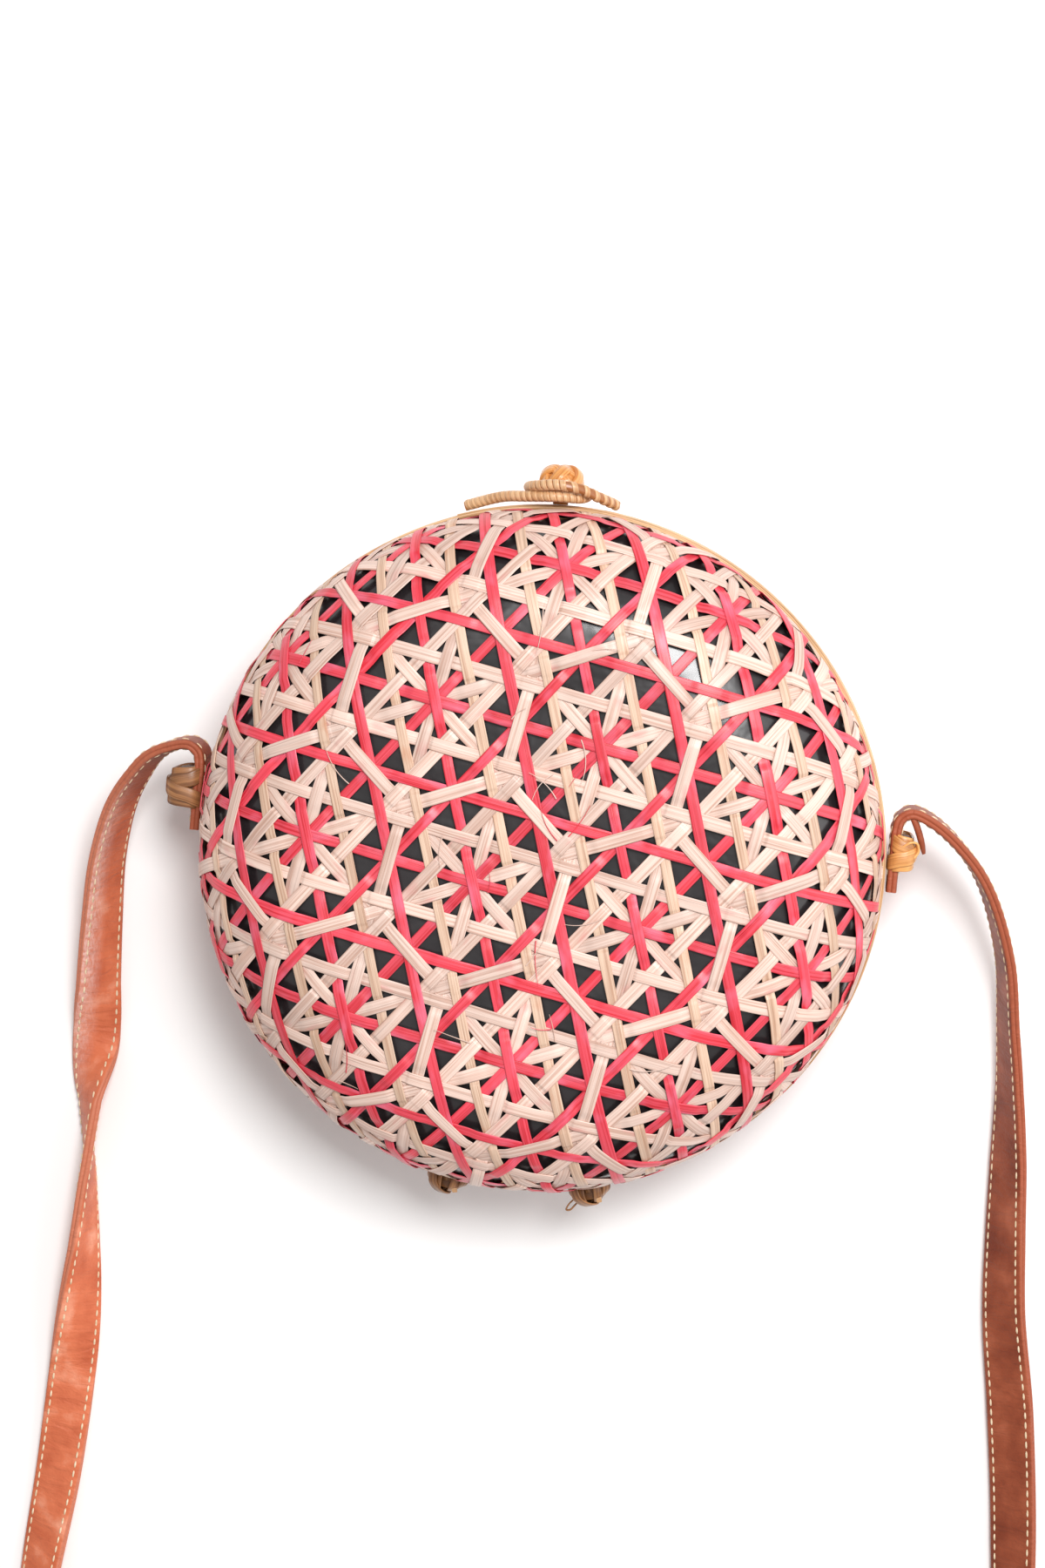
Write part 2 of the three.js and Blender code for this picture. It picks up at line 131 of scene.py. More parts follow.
def shell_line(inset, steps):
    """Radius and height over the mouth along a half shell, from the middle to the mouth."""
    angles = np.linspace(0, math.pi / 2, steps + 1)
    reach = WEAVE_RADIUS - FACE_RADIUS - inset
    rise = HALF_DEPTH - BAND_HEIGHT - inset
    face = [(r, HALF_DEPTH - inset) for r in np.linspace(0, FACE_RADIUS, steps)[:-1]]
    shoulder = [
        (FACE_RADIUS + reach * math.sin(a), BAND_HEIGHT + rise * math.cos(a)) for a in angles
    ]
    rim = [(MOUTH_RADIUS - inset, MOUTH_RIM), (MOUTH_RADIUS - inset, MOUTH_HEIGHT)]
    return face + shoulder + rim


def in_place(points, half):
    """Points over the mouth plane set on the front half, or turned over to the back half."""
    points = np.array(points, float)
    flip = 1 if half == "front" else -1
    return np.column_stack([points[:, 0], flip * points[:, 1], HALF_DEPTH + flip * points[:, 2]])


def added(name, data):
    """An object with its data, linked into the scene."""
    piece = bpy.data.objects.new(name, data)
    bpy.context.scene.collection.objects.link(piece)
    return piece


def mesh_piece(name, points, faces, material):
    """A smooth mesh object from points in millimetres."""
    mesh = bpy.data.meshes.new(name)
    mesh.from_pydata((np.array(points) * MM).tolist(), [], faces)
    mesh.shade_smooth()
    mesh.materials.append(material)
    return added(name, mesh)


def revolved(line, steps):
    """Points and faces of a closed body of revolution, its line running from pole to pole."""
    angles = np.arange(steps) * 2 * math.pi / steps
    points = [(0, 0, line[0][1])]
    for radius, height in line[1:-1]:
        points += [(radius * math.cos(a), radius * math.sin(a), height) for a in angles]
    points.append((0, 0, line[-1][1]))
    faces = []
    last = len(points) - 1
    for i in range(steps):
        j = (i + 1) % steps
        faces.append((0, 1 + i, 1 + j))
        for ring in range(len(line) - 3):
            low, high = 1 + ring * steps, 1 + (ring + 1) * steps
            faces.append((low + i, high + i, high + j, low + j))
        low = 1 + (len(line) - 3) * steps
        faces.append((low + i, last, low + j))
    return np.array(points), faces


def fitted(piece, body, slot, *nodes):
    """The piece rides on a body and stands for CAD nodes; the material slot is not used."""
    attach(piece, body)
    if nodes:
        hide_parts(*nodes)


lining_cloth, tree, shader = new_finish(
    "lining_cloth", 0.36, Coat_Weight=0.45, Coat_Roughness=0.14
)
place = add_node(tree, "ShaderNodeTexCoord").outputs["Object"]
colour = colour_ramp(tree, clouds(tree, place, 45.0, 4.0), *LINING_COLOURS)
tree.links.new(colour, shader.inputs["Base Color"])
creases = relief(tree, clouds(tree, place, 55.0, 3.0, 0.3), 0.55, 0.002)
tree.links.new(creases, shader.inputs["Normal"])

for half, body in HALVES:
    outer = shell_line(LINING_INSET, LINING_STEPS)[:-1]
    inner = shell_line(LINING_INSET + LINING_WALL, LINING_STEPS)
    lip = [(MOUTH_RADIUS - LINING_INSET, MOUTH_HEIGHT + LINING_LIP)]
    lip += [(LINING_LIP_RADIUS - r, MOUTH_HEIGHT + LINING_LIP * h) for r, h in LINING_LIP_EDGE]
    points, faces = revolved(outer + lip + inner[::-1], LINING_ROUND_STEPS)
    for i, (x, y, z) in enumerate(points):
        if z > MOUTH_RIM + 1:
            wrinkle = 0.5 + 0.5 * noise.noise(Vector((x, y, z)) / LINING_WRINKLE_SIZE)
            towards = Vector((-x, -y, -max(z - LINING_PULL, 0.0))).normalized()
            points[i] += np.array(towards) * (LINING_WRINKLE * wrinkle)
    dish = mesh_piece(half + "_lining_dish", in_place(points, half), faces, lining_cloth)
    fitted(dish, body, "lining", half + "_lining")

# The star weave. Split strips run in three directions, plain and dyed by turns, and three more
# plain ones run between them from star to star. Each half is one flat weave bent over the shell.
# Over and under follow one repeat: layers are counted from the outside at each crossing.
FIRST_STAR = np.array((-15.2, -6.6))
STEP_ACROSS = (48.6, math.radians(-10.5))  # from star to star: length and bearing
STEP_DOWN = (52.4, math.radians(-73.5))
TOP_LIFT = 0.1
LAYER = 0.33
STRIP_THICKNESS = 0.28
DYED_WIDTH = 3.2
PLAIN_WIDTH = 3.7
DOWN_PLAIN_WIDTH = 3.0
END_INSET = 2.2  # from the strips' ends to the mouth
LINES = 14  # strips on each side of the first star
STAR_LINES = 8
NEXT_LAYER = 0.9  # from a strip to the one that lies under it
MIDDLE_LAYER = 1.3  # the topmost strip half way between two stars
DYED_LAYERS = (0.9, 3)  # where two plain strips cross it: between the stars, and through them
PLAIN_LAYERS = (1.8, 1)  # the upper of those two plain strips
SLANT_LAYERS = (1.2, 2.9)  # a plain strip at one from star to star: over it, and under it
THREE_LEVEL, TWO_LEVEL, SLANT_LEVEL = 0.5, 0.25, 0.15  # how far it stays level at these three
STAR_STRIP_REPEAT = (  # place, layer, more in each next direction, for how far it stays level
    (0, 2.8, 0.2, 0.56),
    (1, 1.9, 0, 0.18),
    (2, 3.5, 0, 0.5),
    (8 / 3, 2.6, 0.7, 0.15),
    (3, 2.2, 0, 0.16),
    (4, 0.3, 0, 0.58),
)
LEVEL_SHARE = 0.8  # at most this much of the way between two crossings is level
SMALL_EASE = 0.3  # a change of layer up to this is eased at one place alone
EASE_SHARES = (0.25, 0.5, 0.75)
LONGEST_STEP = 0.27
SHORTEST_STEP = 0.02
SHORTEST_STRIP = 14.0
WANDER = 0.36
WANDER_FIELD = (50, 7.1, 3.3, 0)  # size, and shifts by line, by direction and for all
GIRTH_CHANGE = 0.07
GIRTH_FIELD = (17, 5.3, 2.9, 40)
SECTION_POWERS = (0.5, 0.4)  # of thickness and width: 1 is an ellipse, 0 a box
STREAK_SIZE = (0.045, 0.0006)  # in metres, along and across a strip
FIBRE_SIZE = (0.022, 0.0002)
PATCH_SIZE = (0.011, 0.004)
TONE_SHIFT = 97.0
WEAVE_SEED = 7


def compass(angle):
    """The flat direction at an angle."""
    return np.array((math.cos(angle), math.sin(angle)))


def unit(ways):
    """Rows of directions, each at length one."""
    return ways / np.linalg.norm(ways, axis=1)[:, None]


def line_way(line):
    """How far along a line each of its points is."""
    return np.concatenate([[0], np.cumsum(np.linalg.norm(np.diff(line, axis=0), axis=1))])


step_across, step_down = (size * compass(bearing) for size, bearing in (STEP_ACROSS, STEP_DOWN))
shell = np.array(shell_line(0, 40))
shell_way = line_way(shell)
weave_reach = shell_way[-1] - END_INSET
slope = np.gradient(shell, shell_way, axis=0)


def laid(flat, lift):
    """Points of the flat weave bent over the shell, and the way that it faces there."""
    way = np.linalg.norm(flat, axis=1)
    ahead = flat / np.maximum(way, 1e-9)[:, None]
    radius, height = (np.interp(way, shell_way, shell[:, i]) for i in (0, 1))
    out, up = np.interp(way, shell_way, -slope[:, 1]), np.interp(way, shell_way, slope[:, 0])
    facing = unit(np.column_stack([ahead * out[:, None], up]))
    return np.column_stack([ahead * radius[:, None], height]) + facing * lift[:, None], facing


def on_flat(lines):
    """A place in the flat weave from its three line numbers, in quarters of a star step."""
    return FIRST_STAR + lines[0] / 4 * step_across + lines[1] / 4 * step_down


def strip_layers(family, line, low, high):
    """Crossings along a strip: place, layer from the outside, and for how far it stays level."""
    found = []
    for place in range(low, high + 1):
        lines = [0, 0, 0]
        lines[family], lines[(family + 1) % 3] = line, place
        lines[(family + 2) % 3] = -line - place
        even = [f for f in range(3) if lines[f] % 2 == 0]
        if len(even) == 3:
            first = 0 if all(n % 4 == 0 for n in lines) else MIDDLE_LAYER
            found.append((place, first + NEXT_LAYER * family, THREE_LEVEL))
            continue
        dyed = even[0]
        through_stars = lines[dyed] % 4 == 0
        if dyed == family:
            layer = DYED_LAYERS[through_stars]
        else:
            layer = PLAIN_LAYERS[through_stars] + NEXT_LAYER * (family != (dyed + 1) % 3)
        found.append((place, layer, TWO_LEVEL))
    if line % 2:
        for crossing in range(low // 2 - 4, high // 2 + 4):
            place = (4 * crossing - line) / 2
            if low < place < high:
                under = (line - 4 * crossing) % 8 in (1, 7)
                found.append((place, SLANT_LAYERS[under], SLANT_LEVEL))
    return sorted(found)


def star_strip_layers(family, line, low, high):
    """The same along a plain strip that runs from star to star."""
    repeat = [(place, top + more * family, level) for place, top, more, level in STAR_STRIP_REPEAT]
    repeat += [(8 - place, layer, level) for place, layer, level in repeat[1:-1]]
    first = 8 * math.floor((low - 4 * line) / 8) + 4 * line
    found = [(place + turn, *rest) for turn in range(first, high + 8, 8) for place, *rest in repeat]
    return sorted(p for p in found if low <= p[0] <= high)


def strip_stations(crossings, start, end):
    """Places along a strip and its layer there, level over each crossing and eased between."""
    rows = []
    for (p0, l0, level0), (p1, l1, level1) in zip(crossings, crossings[1:]):
        fit = min(1, LEVEL_SHARE * (p1 - p0) / (level0 + level1))
        leave, arrive = p0 + level0 * fit, p1 - level1 * fit
        rows += [(p0, l0), (leave, l0)]
        for share in EASE_SHARES if abs(l1 - l0) > SMALL_EASE else EASE_SHARES[1:2]:
            eased = share * share * (3 - 2 * share)
            rows.append((leave + (arrive - leave) * share, l0 + (l1 - l0) * eased))
        rows.append((arrive, l1))
    rows = np.array(rows)
    first, last = start + SHORTEST_STEP, end - SHORTEST_STEP
    places = [start]
    for place in [*(p for p in rows[:, 0] if first < p < last), end]:
        parts = math.ceil((place - places[-1]) / LONGEST_STEP)
        places += list(np.linspace(places[-1], place, max(parts, 1) + 1)[1:])
    return np.column_stack([places, np.interp(places, rows[:, 0], rows[:, 1])])


def strip_run(family, line, between, draw):
    """One strip as points, facings, a tone and a girth, or nothing where it misses the shell."""

    def place(along):
        """A place on the flat weave, a number of steps along the strip."""
        lines = [0, 0, 0]
        lines[family] = along if between else line
        if between:
            lines[(family + 1) % 3] = (4 * line - along) / 2
            lines[(family + 2) % 3] = (-4 * line - along) / 2
        else:
            lines[(family + 1) % 3], lines[(family + 2) % 3] = along, -line - along
        return on_flat(lines)

    origin, step = place(0), place(1) - place(0)
    pitch = np.linalg.norm(step)
    middle = -origin @ step / pitch**2
    square = weave_reach**2 - np.linalg.norm(origin + middle * step) ** 2
    shift, tone = draw.uniform(-WANDER, WANDER), draw.random()
    girth = draw.uniform(1 - GIRTH_CHANGE, 1 + GIRTH_CHANGE)
    if square < (SHORTEST_STRIP / 2) ** 2:
        return None
    half = math.sqrt(square) / pitch
    start, end = middle - half, middle + half
    find_layers = star_strip_layers if between else strip_layers
    layers = find_layers(family, line, math.floor(start) - 9, math.ceil(end) + 9)
    rows = strip_stations(layers, start, end)

    def uneven(size, by_line, by_family, shift_all):
        """A smooth random value along the strip, with a line of its own for each strip."""
        fixed = (line * by_line, family * by_family + shift_all)
        return np.array([noise.noise(Vector((p * pitch / size, *fixed))) for p in rows[:, 0]])

    aside = np.array((-step[1], step[0])) / pitch
    sway = np.outer(shift + WANDER * uneven(*WANDER_FIELD), aside)
    points, facing = laid(origin + rows[:, :1] * step + sway, TOP_LIFT - LAYER * rows[:, 1])
    return points, facing, tone, girth + GIRTH_CHANGE * uneven(*GIRTH_FIELD)


def add_sockets(tree, in_out, kind, *names):
    """Named inputs or outputs of one kind on a tree."""
    for name in names:
        tree.interface.new_socket(name, in_out=in_out, socket_type="NodeSocket" + kind)


def maths(tree, operation, *values):
    """One step of arithmetic on sockets and numbers."""
    return add_node(tree, "ShaderNodeMath", dict(enumerate(values)), operation=operation).outputs[0]


def point_value(tree, name, data_type):
    """The value that each point of the shape holds under a name."""
    node = add_node(tree, "GeometryNodeInputNamedAttribute", {"Name": name}, data_type=data_type)
    return node.outputs["Attribute"]


def close_tree(tree, shape, material, name):
    """Ends a tree with its shape as plain geometry in its material."""
    shape = add_node(tree, "GeometryNodeRealizeInstances", {"Geometry": shape}).outputs[0]
    values = {"Geometry": shape, "Material": material}
    shape = add_node(tree, "GeometryNodeSetMaterial", values).outputs[0]
    tree.links.new(shape, add_node(tree, "NodeGroupOutput").inputs[name])


def cane_tree():
    """Geometry Nodes that turn lines into flat cane, with facing and girth from their points."""
    tree = bpy.data.node_groups.new("flat_cane", "GeometryNodeTree")
    add_sockets(tree, "INPUT", "Geometry", "Lines")
    add_sockets(tree, "INPUT", "Float", "Width", "Thickness")
    add_sockets(tree, "INPUT", "Int", "Sides")
    add_sockets(tree, "INPUT", "Material", "Material")
    add_sockets(tree, "OUTPUT", "Geometry", "Cane")
    given = add_node(tree, "NodeGroupInput").outputs

    def squared(value, power, size):
        """A side of the round section drawn out towards a box of the given size."""
        share = maths(tree, "POWER", maths(tree, "ABSOLUTE", value), power)
        share = maths(tree, "MULTIPLY", share, maths(tree, "SIGN", value))
        return maths(tree, "MULTIPLY", share, maths(tree, "MULTIPLY", size, 0.5))

    def stored(shape, name, value):
        """The shape with a value kept on its points under a name."""
        values = {"Geometry": shape, "Name": name, "Value": value}
        kind = {"data_type": "FLOAT", "domain": "POINT"}
        return add_node(tree, "GeometryNodeStoreNamedAttribute", values, **kind).outputs[0]

    values = {"Resolution": given["Sides"], "Radius": 1.0}
    circle = add_node(tree, "GeometryNodeCurvePrimitiveCircle", values).outputs["Curve"]
    place = add_node(tree, "GeometryNodeInputPosition").outputs[0]
    split = add_node(tree, "ShaderNodeSeparateXYZ", {0: place}).outputs
    deep = squared(split["X"], SECTION_POWERS[0], given["Thickness"])
    wide = squared(split["Y"], SECTION_POWERS[1], given["Width"])
    moved = add_node(tree, "ShaderNodeCombineXYZ", {"X": deep, "Y": wide}).outputs[0]
    values = {"Geometry": circle, "Position": moved}
    section = add_node(tree, "GeometryNodeSetPosition", values).outputs[0]
    section = stored(section, "across", split["Y"])
    line = add_node(tree, "GeometryNodeMeshToCurve", {"Mesh": given["Lines"]}).outputs[0]
    values = {"Curve": line, "Normal": point_value(tree, "facing", "FLOAT_VECTOR")}
    line = add_node(tree, "GeometryNodeSetCurveNormal", values, mode="FREE").outputs[0]
    line = stored(line, "along", add_node(tree, "GeometryNodeSplineParameter").outputs["Length"])
    values = {"Curve": line, "Profile Curve": section, "Fill Caps": True}
    values["Scale"] = point_value(tree, "girth", "FLOAT")
    cane = add_node(tree, "GeometryNodeCurveToMesh", values).outputs[0]
    cane = add_node(tree, "GeometryNodeSetShadeSmooth", {"Geometry": cane}).outputs[0]
    close_tree(tree, cane, given["Material"], "Cane")
    return tree


FLAT_CANE = cane_tree()


def grown(name, mesh, tree, **values):
    """Runs a tree on a mesh of lines or points and keeps the result as a plain mesh object."""
    carrier = added(name + "_lines", mesh)
    modifier = carrier.modifiers.new("grown", "NODES")
    modifier.node_group = tree
    for item in tree.interface.items_tree:
        if item.item_type == "SOCKET" and item.in_out == "INPUT" and item.name in values:
            modifier[item.identifier] = values[item.name]
    graph = bpy.context.evaluated_depsgraph_get()
    shape = bpy.data.meshes.new_from_object(
        carrier.evaluated_get(graph), preserve_all_data_layers=True, depsgraph=graph
    )
    bpy.data.objects.remove(carrier)
    shape.name = name
    return added(name, shape)


def cane_piece(name, runs, width, thickness, material, sides=10):
    """Flat cane along runs of points, each run with facings, a tone and a girth."""
    mesh = bpy.data.meshes.new(name)
    points = np.concatenate([run[0] for run in runs])
    counts = [len(run[0]) for run in runs]
    starts = np.cumsum([0, *counts[:-1]])
    edges = [(s + i, s + i + 1) for s, n in zip(starts, counts) for i in range(n - 1)]
    mesh.from_pydata((points * MM).tolist(), edges, [])
    facing = mesh.attributes.new("facing", "FLOAT_VECTOR", "POINT")
    facing.data.foreach_set("vector", np.concatenate([run[1] for run in runs]).ravel())
    for key, column in (("tone", 2), ("girth", 3)):
        values = np.concatenate([np.broadcast_to(run[column], n) for run, n in zip(runs, counts)])
        kept = mesh.attributes.new(key, "FLOAT", "POINT")
        kept.data.foreach_set("value", values.astype(np.float32))
    size = {"Width": width * MM, "Thickness": thickness * MM, "Sides": sides}
    return grown(name, mesh, FLAT_CANE, Material=material, **size)


def run_in_place(points, facing, tone, girth, half):
    """A run over the mouth plane set on the front half, or turned over to the back half."""
    ahead, points = in_place(points + facing, half), in_place(points, half)
    return points, ahead - points, tone, girth


def surface_value(tree, name):
    """The value that the surface holds under a name."""
    return add_node(tree, "ShaderNodeAttribute", attribute_name=name).outputs["Fac"]


def grain_group():
    """Shader group for the grain of split cane: streaks, fibres, patches, and each strip's tone."""
    group = bpy.data.node_groups.new("cane_grain", "ShaderNodeTree")
    add_sockets(group, "INPUT", "Float", "Streak Length", "Streak Width")
    add_sockets(group, "OUTPUT", "Float", "Streaks", "Fibres", "Patches", "Tone")
    given = add_node(group, "NodeGroupInput").outputs
    along, across, tone = (surface_value(group, name) for name in ("along", "across", "tone"))
    shift = maths(group, "MULTIPLY", tone, TONE_SHIFT)

    def drawn_out(length, width, detail):
        """A soft random pattern of a length and width, another on each strip."""
        place = {"X": maths(group, "DIVIDE", along, length), "Z": shift}
        place["Y"] = maths(group, "DIVIDE", across, width)
        place = add_node(group, "ShaderNodeCombineXYZ", place).outputs[0]
        return clouds(group, place, 1.0, detail)

    output = add_node(group, "NodeGroupOutput").inputs
    streaks = drawn_out(given["Streak Length"], given["Streak Width"], 3.0)
    group.links.new(streaks, output["Streaks"])
    group.links.new(drawn_out(*FIBRE_SIZE, 3.0), output["Fibres"])
    group.links.new(drawn_out(*PATCH_SIZE, 2.0), output["Patches"])
    group.links.new(tone, output["Tone"])
    return group


CANE_GRAIN = grain_group()


def ranged(tree, value, low, high, to_low=0.0, to_high=1.0, **settings):
    """A value carried over from one range to another, and held at its ends."""
    values = {0: value, 1: low, 2: high, 3: to_low, 4: to_high}
    return add_node(tree, "ShaderNodeMapRange", values, **settings).outputs[0]


def mixed(tree, share, colour, other):
    """A colour with a share of another mixed in."""
    values = {"Factor": share, "A": colour, "B": other}
    return add_node(tree, "ShaderNodeMix", values, data_type="RGBA").outputs["Result"]


def cane_finish(name, roughness, lustre, stain_share, *colours):
    """Cane with streaks from a dark to a light colour, and patches of a third as a stain."""
    dark, light, stain = colours
    finish, tree, shader = new_finish(name, roughness, Coat_Weight=lustre, Coat_Roughness=0.28)
    size = dict(zip(("Streak Length", "Streak Width"), STREAK_SIZE))
    grain = add_node(tree, "ShaderNodeGroup", size, node_tree=CANE_GRAIN).outputs
    colour = colour_ramp(tree, grain["Streaks"], (0.34, dark), (0.58, light))
    patch = ranged(tree, grain["Patches"], 0.75 - stain_share, 0.95 - stain_share, 0.0, 0.75)
    bright = ranged(tree, grain["Tone"], 0.0, 1.0, 0.88, 1.08)
    lines = ranged(tree, grain["Fibres"], 0.52, 0.72, 1.0, 0.72)
    values = {"Value": maths(tree, "MULTIPLY", bright, lines)}
    values["Color"] = mixed(tree, patch, colour, linear(*stain))
    shade = add_node(tree, "ShaderNodeHueSaturation", values)
    tree.links.new(shade.outputs["Color"], shader.inputs["Base Color"])
    tree.links.new(relief(tree, grain["Fibres"], 0.35, 0.0002), shader.inputs["Normal"])
    return finish


plain_cane = cane_finish(
    "plain_cane", 0.48, 0.2, 0.14, (202, 162, 144), (233, 204, 190), (220, 142, 136)
)
down_cane = cane_finish(
    "warm_plain_cane", 0.48, 0.2, 0.16, (196, 154, 128), (229, 196, 171), (206, 142, 106)
)
dyed_cane = cane_finish(
    "dyed_cane", 0.42, 0.2, 0.22, (206, 30, 46), (234, 76, 93), (236, 114, 140)
)

for half, body in HALVES:
    draw = random.Random(WEAVE_SEED)
    bundles = {"plain": [], "warm": [], "dyed": [], "star": []}
    for family in range(3):
        for line in range(-LINES, LINES + 1):
            run = strip_run(family, line, False, draw)
            if run:
                kind = "dyed" if line % 2 == 0 else "warm" if family == 0 else "plain"
                bundles[kind].append(run)
        for line in range(-STAR_LINES, STAR_LINES + 1):
            run = strip_run(family, line, True, draw)
            if run:
                bundles["star"].append(run)
    looks = {
        "plain": (PLAIN_WIDTH, plain_cane),
        "warm": (DOWN_PLAIN_WIDTH, down_cane),
        "dyed": (DYED_WIDTH, dyed_cane),
        "star": (PLAIN_WIDTH, plain_cane),
    }
    for kind, (width, material) in looks.items():
        runs = [run_in_place(*run, half) for run in bundles[kind]]
        strips = cane_piece(f"{half}_{kind}_strips", runs, width, STRIP_THICKNESS, material)
        fitted(strips, body, "woven_cane", half + "_weave")

# The slivers. On the worn weave some fine splinters have come off the strips' edges and curl up.
SLIVERS = 22
SLIVER_LENGTHS = (5, 13)
SLIVER_PLACES = (10, 92)  # how far from the middle
SLIVER_BEND = 0.9
SLIVER_WIDTH = 0.34
SLIVER_THICKNESS = 0.16
SLIVER_LIFT = 1.1
SLIVER_SEAT = 0.2
SLIVER_SEED = 31

draw = random.Random(SLIVER_SEED)
slivers = {"plain": [], "dyed": []}
share = np.linspace(0, 1, 12)
for number in range(SLIVERS):
    way, bearing = draw.uniform(*SLIVER_PLACES), draw.uniform(0, 2 * math.pi)
    heading, length = draw.uniform(0, 2 * math.pi), draw.uniform(*SLIVER_LENGTHS)
    turn = heading + draw.uniform(-SLIVER_BEND, SLIVER_BEND) * share
    step = np.column_stack([np.cos(turn), np.sin(turn)]) * length / (len(share) - 1)
    flat = way * compass(bearing) + np.cumsum(step, axis=0)
    points, facing = laid(flat, SLIVER_LIFT * np.linspace(0.2, 1, len(share)) ** 2 + SLIVER_SEAT)
    girth = np.linspace(1, 0.4, len(share))
    run = run_in_place(points, facing, draw.random(), girth, "front")
    slivers["dyed" if number % 3 == 0 else "plain"].append(run)
for kind, material in (("plain", plain_cane), ("dyed", dyed_cane)):
    hairs = cane_piece(
        f"front_{kind}_slivers", slivers[kind], SLIVER_WIDTH, SLIVER_THICKNESS, material, sides=6
    )
    fitted(hairs, "lid", "woven_cane")

# The hoops. Round each mouth runs one thin split cane, wound three times on edge round the
# ends of the strips and glued, so three edges show from above and one flat side from outside.
HOOP_INNER = 97.7
HOOP_OUTER = 99.9
HOOP_WIDTH = 4.1
HOOP_MIDDLE = 2.35
HOOP_TURNS = 3
HOOP_STATIONS = 160
HOOP_START = 1.9
HOOP_SWAY = (0.16, 1.7)  # up and down, and how quickly
HOOP_FILL = 0.92  # of its share of the wall that one turn takes up

hoop_cane = cane_finish(
    "hoop_cane", 0.45, 0.15, 0.12, (176, 128, 80), (228, 190, 146), (160, 104, 60)
)
share = np.linspace(0, 1, HOOP_TURNS * HOOP_STATIONS + 1)
angle = HOOP_START + 2 * math.pi * HOOP_TURNS * share
wall = (HOOP_OUTER - HOOP_INNER) / HOOP_TURNS
radius = HOOP_INNER + wall / 2 + (HOOP_OUTER - HOOP_INNER - wall) * share
sway = [noise.noise(Vector((a * HOOP_SWAY[1], 0.4, 0))) for a in angle]
height = HOOP_MIDDLE + HOOP_SWAY[0] * np.array(sway)
outward = np.column_stack([np.cos(angle), np.sin(angle), np.zeros_like(angle)])
points = outward * radius[:, None] + np.outer(height, (0, 0, 1))
for half, body in HALVES:
    run = run_in_place(points, outward, 0.5, 1.0, half)
    hoop = cane_piece(half + "_hoop_cane", [run], HOOP_WIDTH, wall * HOOP_FILL, hoop_cane)
    fitted(hoop, body, "hoop_cane", half + "_hoop")

# The knob. A ball of glossy half-round cane, plaited over and under in three leads round a
# core, on a short stem through the front hoop. Its axis points out of the rim.
KNOB_BEARING = math.radians(91.7)
KNOB_RADIUS = 6.6
KNOB_HALF_HEIGHT = 5.3
KNOB_STEM = (99.9, 101.1)
KNOB_STEM_RADIUS = 2.2
KNOB_Z = 42.35
KNOB_LEADS = 3
KNOB_BIGHTS = 5
KNOB_REACH = math.radians(58)  # how far the strand swings to each side of the widest round
KNOB_STRAND_WIDTH = 3.3
KNOB_STRAND_THICKNESS = 1.5
KNOB_OVER, KNOB_SINK = 0.5, 0.25  # how far it rises and dips at a crossing, and lies in
KNOB_STATIONS = 330
KNOB_CORE_INSETS = (1.6, 1.2)  # of its radius and its half height
KNOB_CORE_ANGLES = np.linspace(0.42, 2.9, 12)

knob_outward = np.array((math.cos(KNOB_BEARING), math.sin(KNOB_BEARING), 0))
knob_side = np.array((-math.sin(KNOB_BEARING), math.cos(KNOB_BEARING), 0))
knob_middle = knob_outward * (KNOB_STEM[1] + KNOB_HALF_HEIGHT) + np.array((0, 0, KNOB_Z))

knob_cane = cane_finish(
    "knob_cane", 0.24, 0.6, 0.12, (198, 122, 58), (230, 164, 94), (178, 98, 44)
)
angle = np.linspace(0, 2 * math.pi * KNOB_LEADS, KNOB_STATIONS)
wave = KNOB_BIGHTS * angle / KNOB_LEADS
north = KNOB_REACH * np.sin(wave)
rise = KNOB_OVER * np.sin(2 * wave) - KNOB_SINK - KNOB_STRAND_THICKNESS / 2
reach = np.cos(north)
outward = np.column_stack([reach * np.cos(angle), reach * np.sin(angle), np.sin(north)])
axes = np.array([knob_side, (0, 0, 1), knob_outward])
size = np.array((KNOB_RADIUS, KNOB_RADIUS, KNOB_HALF_HEIGHT))
points = (outward * (size + rise[:, None])) @ axes + knob_middle
run = (points, outward @ axes, 0.4, 1.0)
knot = cane_piece(
    "knob_plait", [run], KNOB_STRAND_WIDTH, KNOB_STRAND_THICKNESS, knob_cane, sides=14
)
fitted(knot, "lid", "knob_cane", "knob")
stem_end = KNOB_STEM[0] - KNOB_STEM[1] - KNOB_HALF_HEIGHT
radius, height = KNOB_RADIUS - KNOB_CORE_INSETS[0], KNOB_HALF_HEIGHT - KNOB_CORE_INSETS[1]
core_line = [(0.0, stem_end), (KNOB_STEM_RADIUS, stem_end)]
core_line += [(radius * math.sin(a), -height * math.cos(a)) for a in KNOB_CORE_ANGLES]
core_line.append((0.0, height))
points, faces = revolved(core_line, 24)
core = mesh_piece("knob_core", points @ axes + knob_middle, faces, knob_cane)
core.data.flip_normals()
fitted(core, "lid", "knob_cane", "knob")

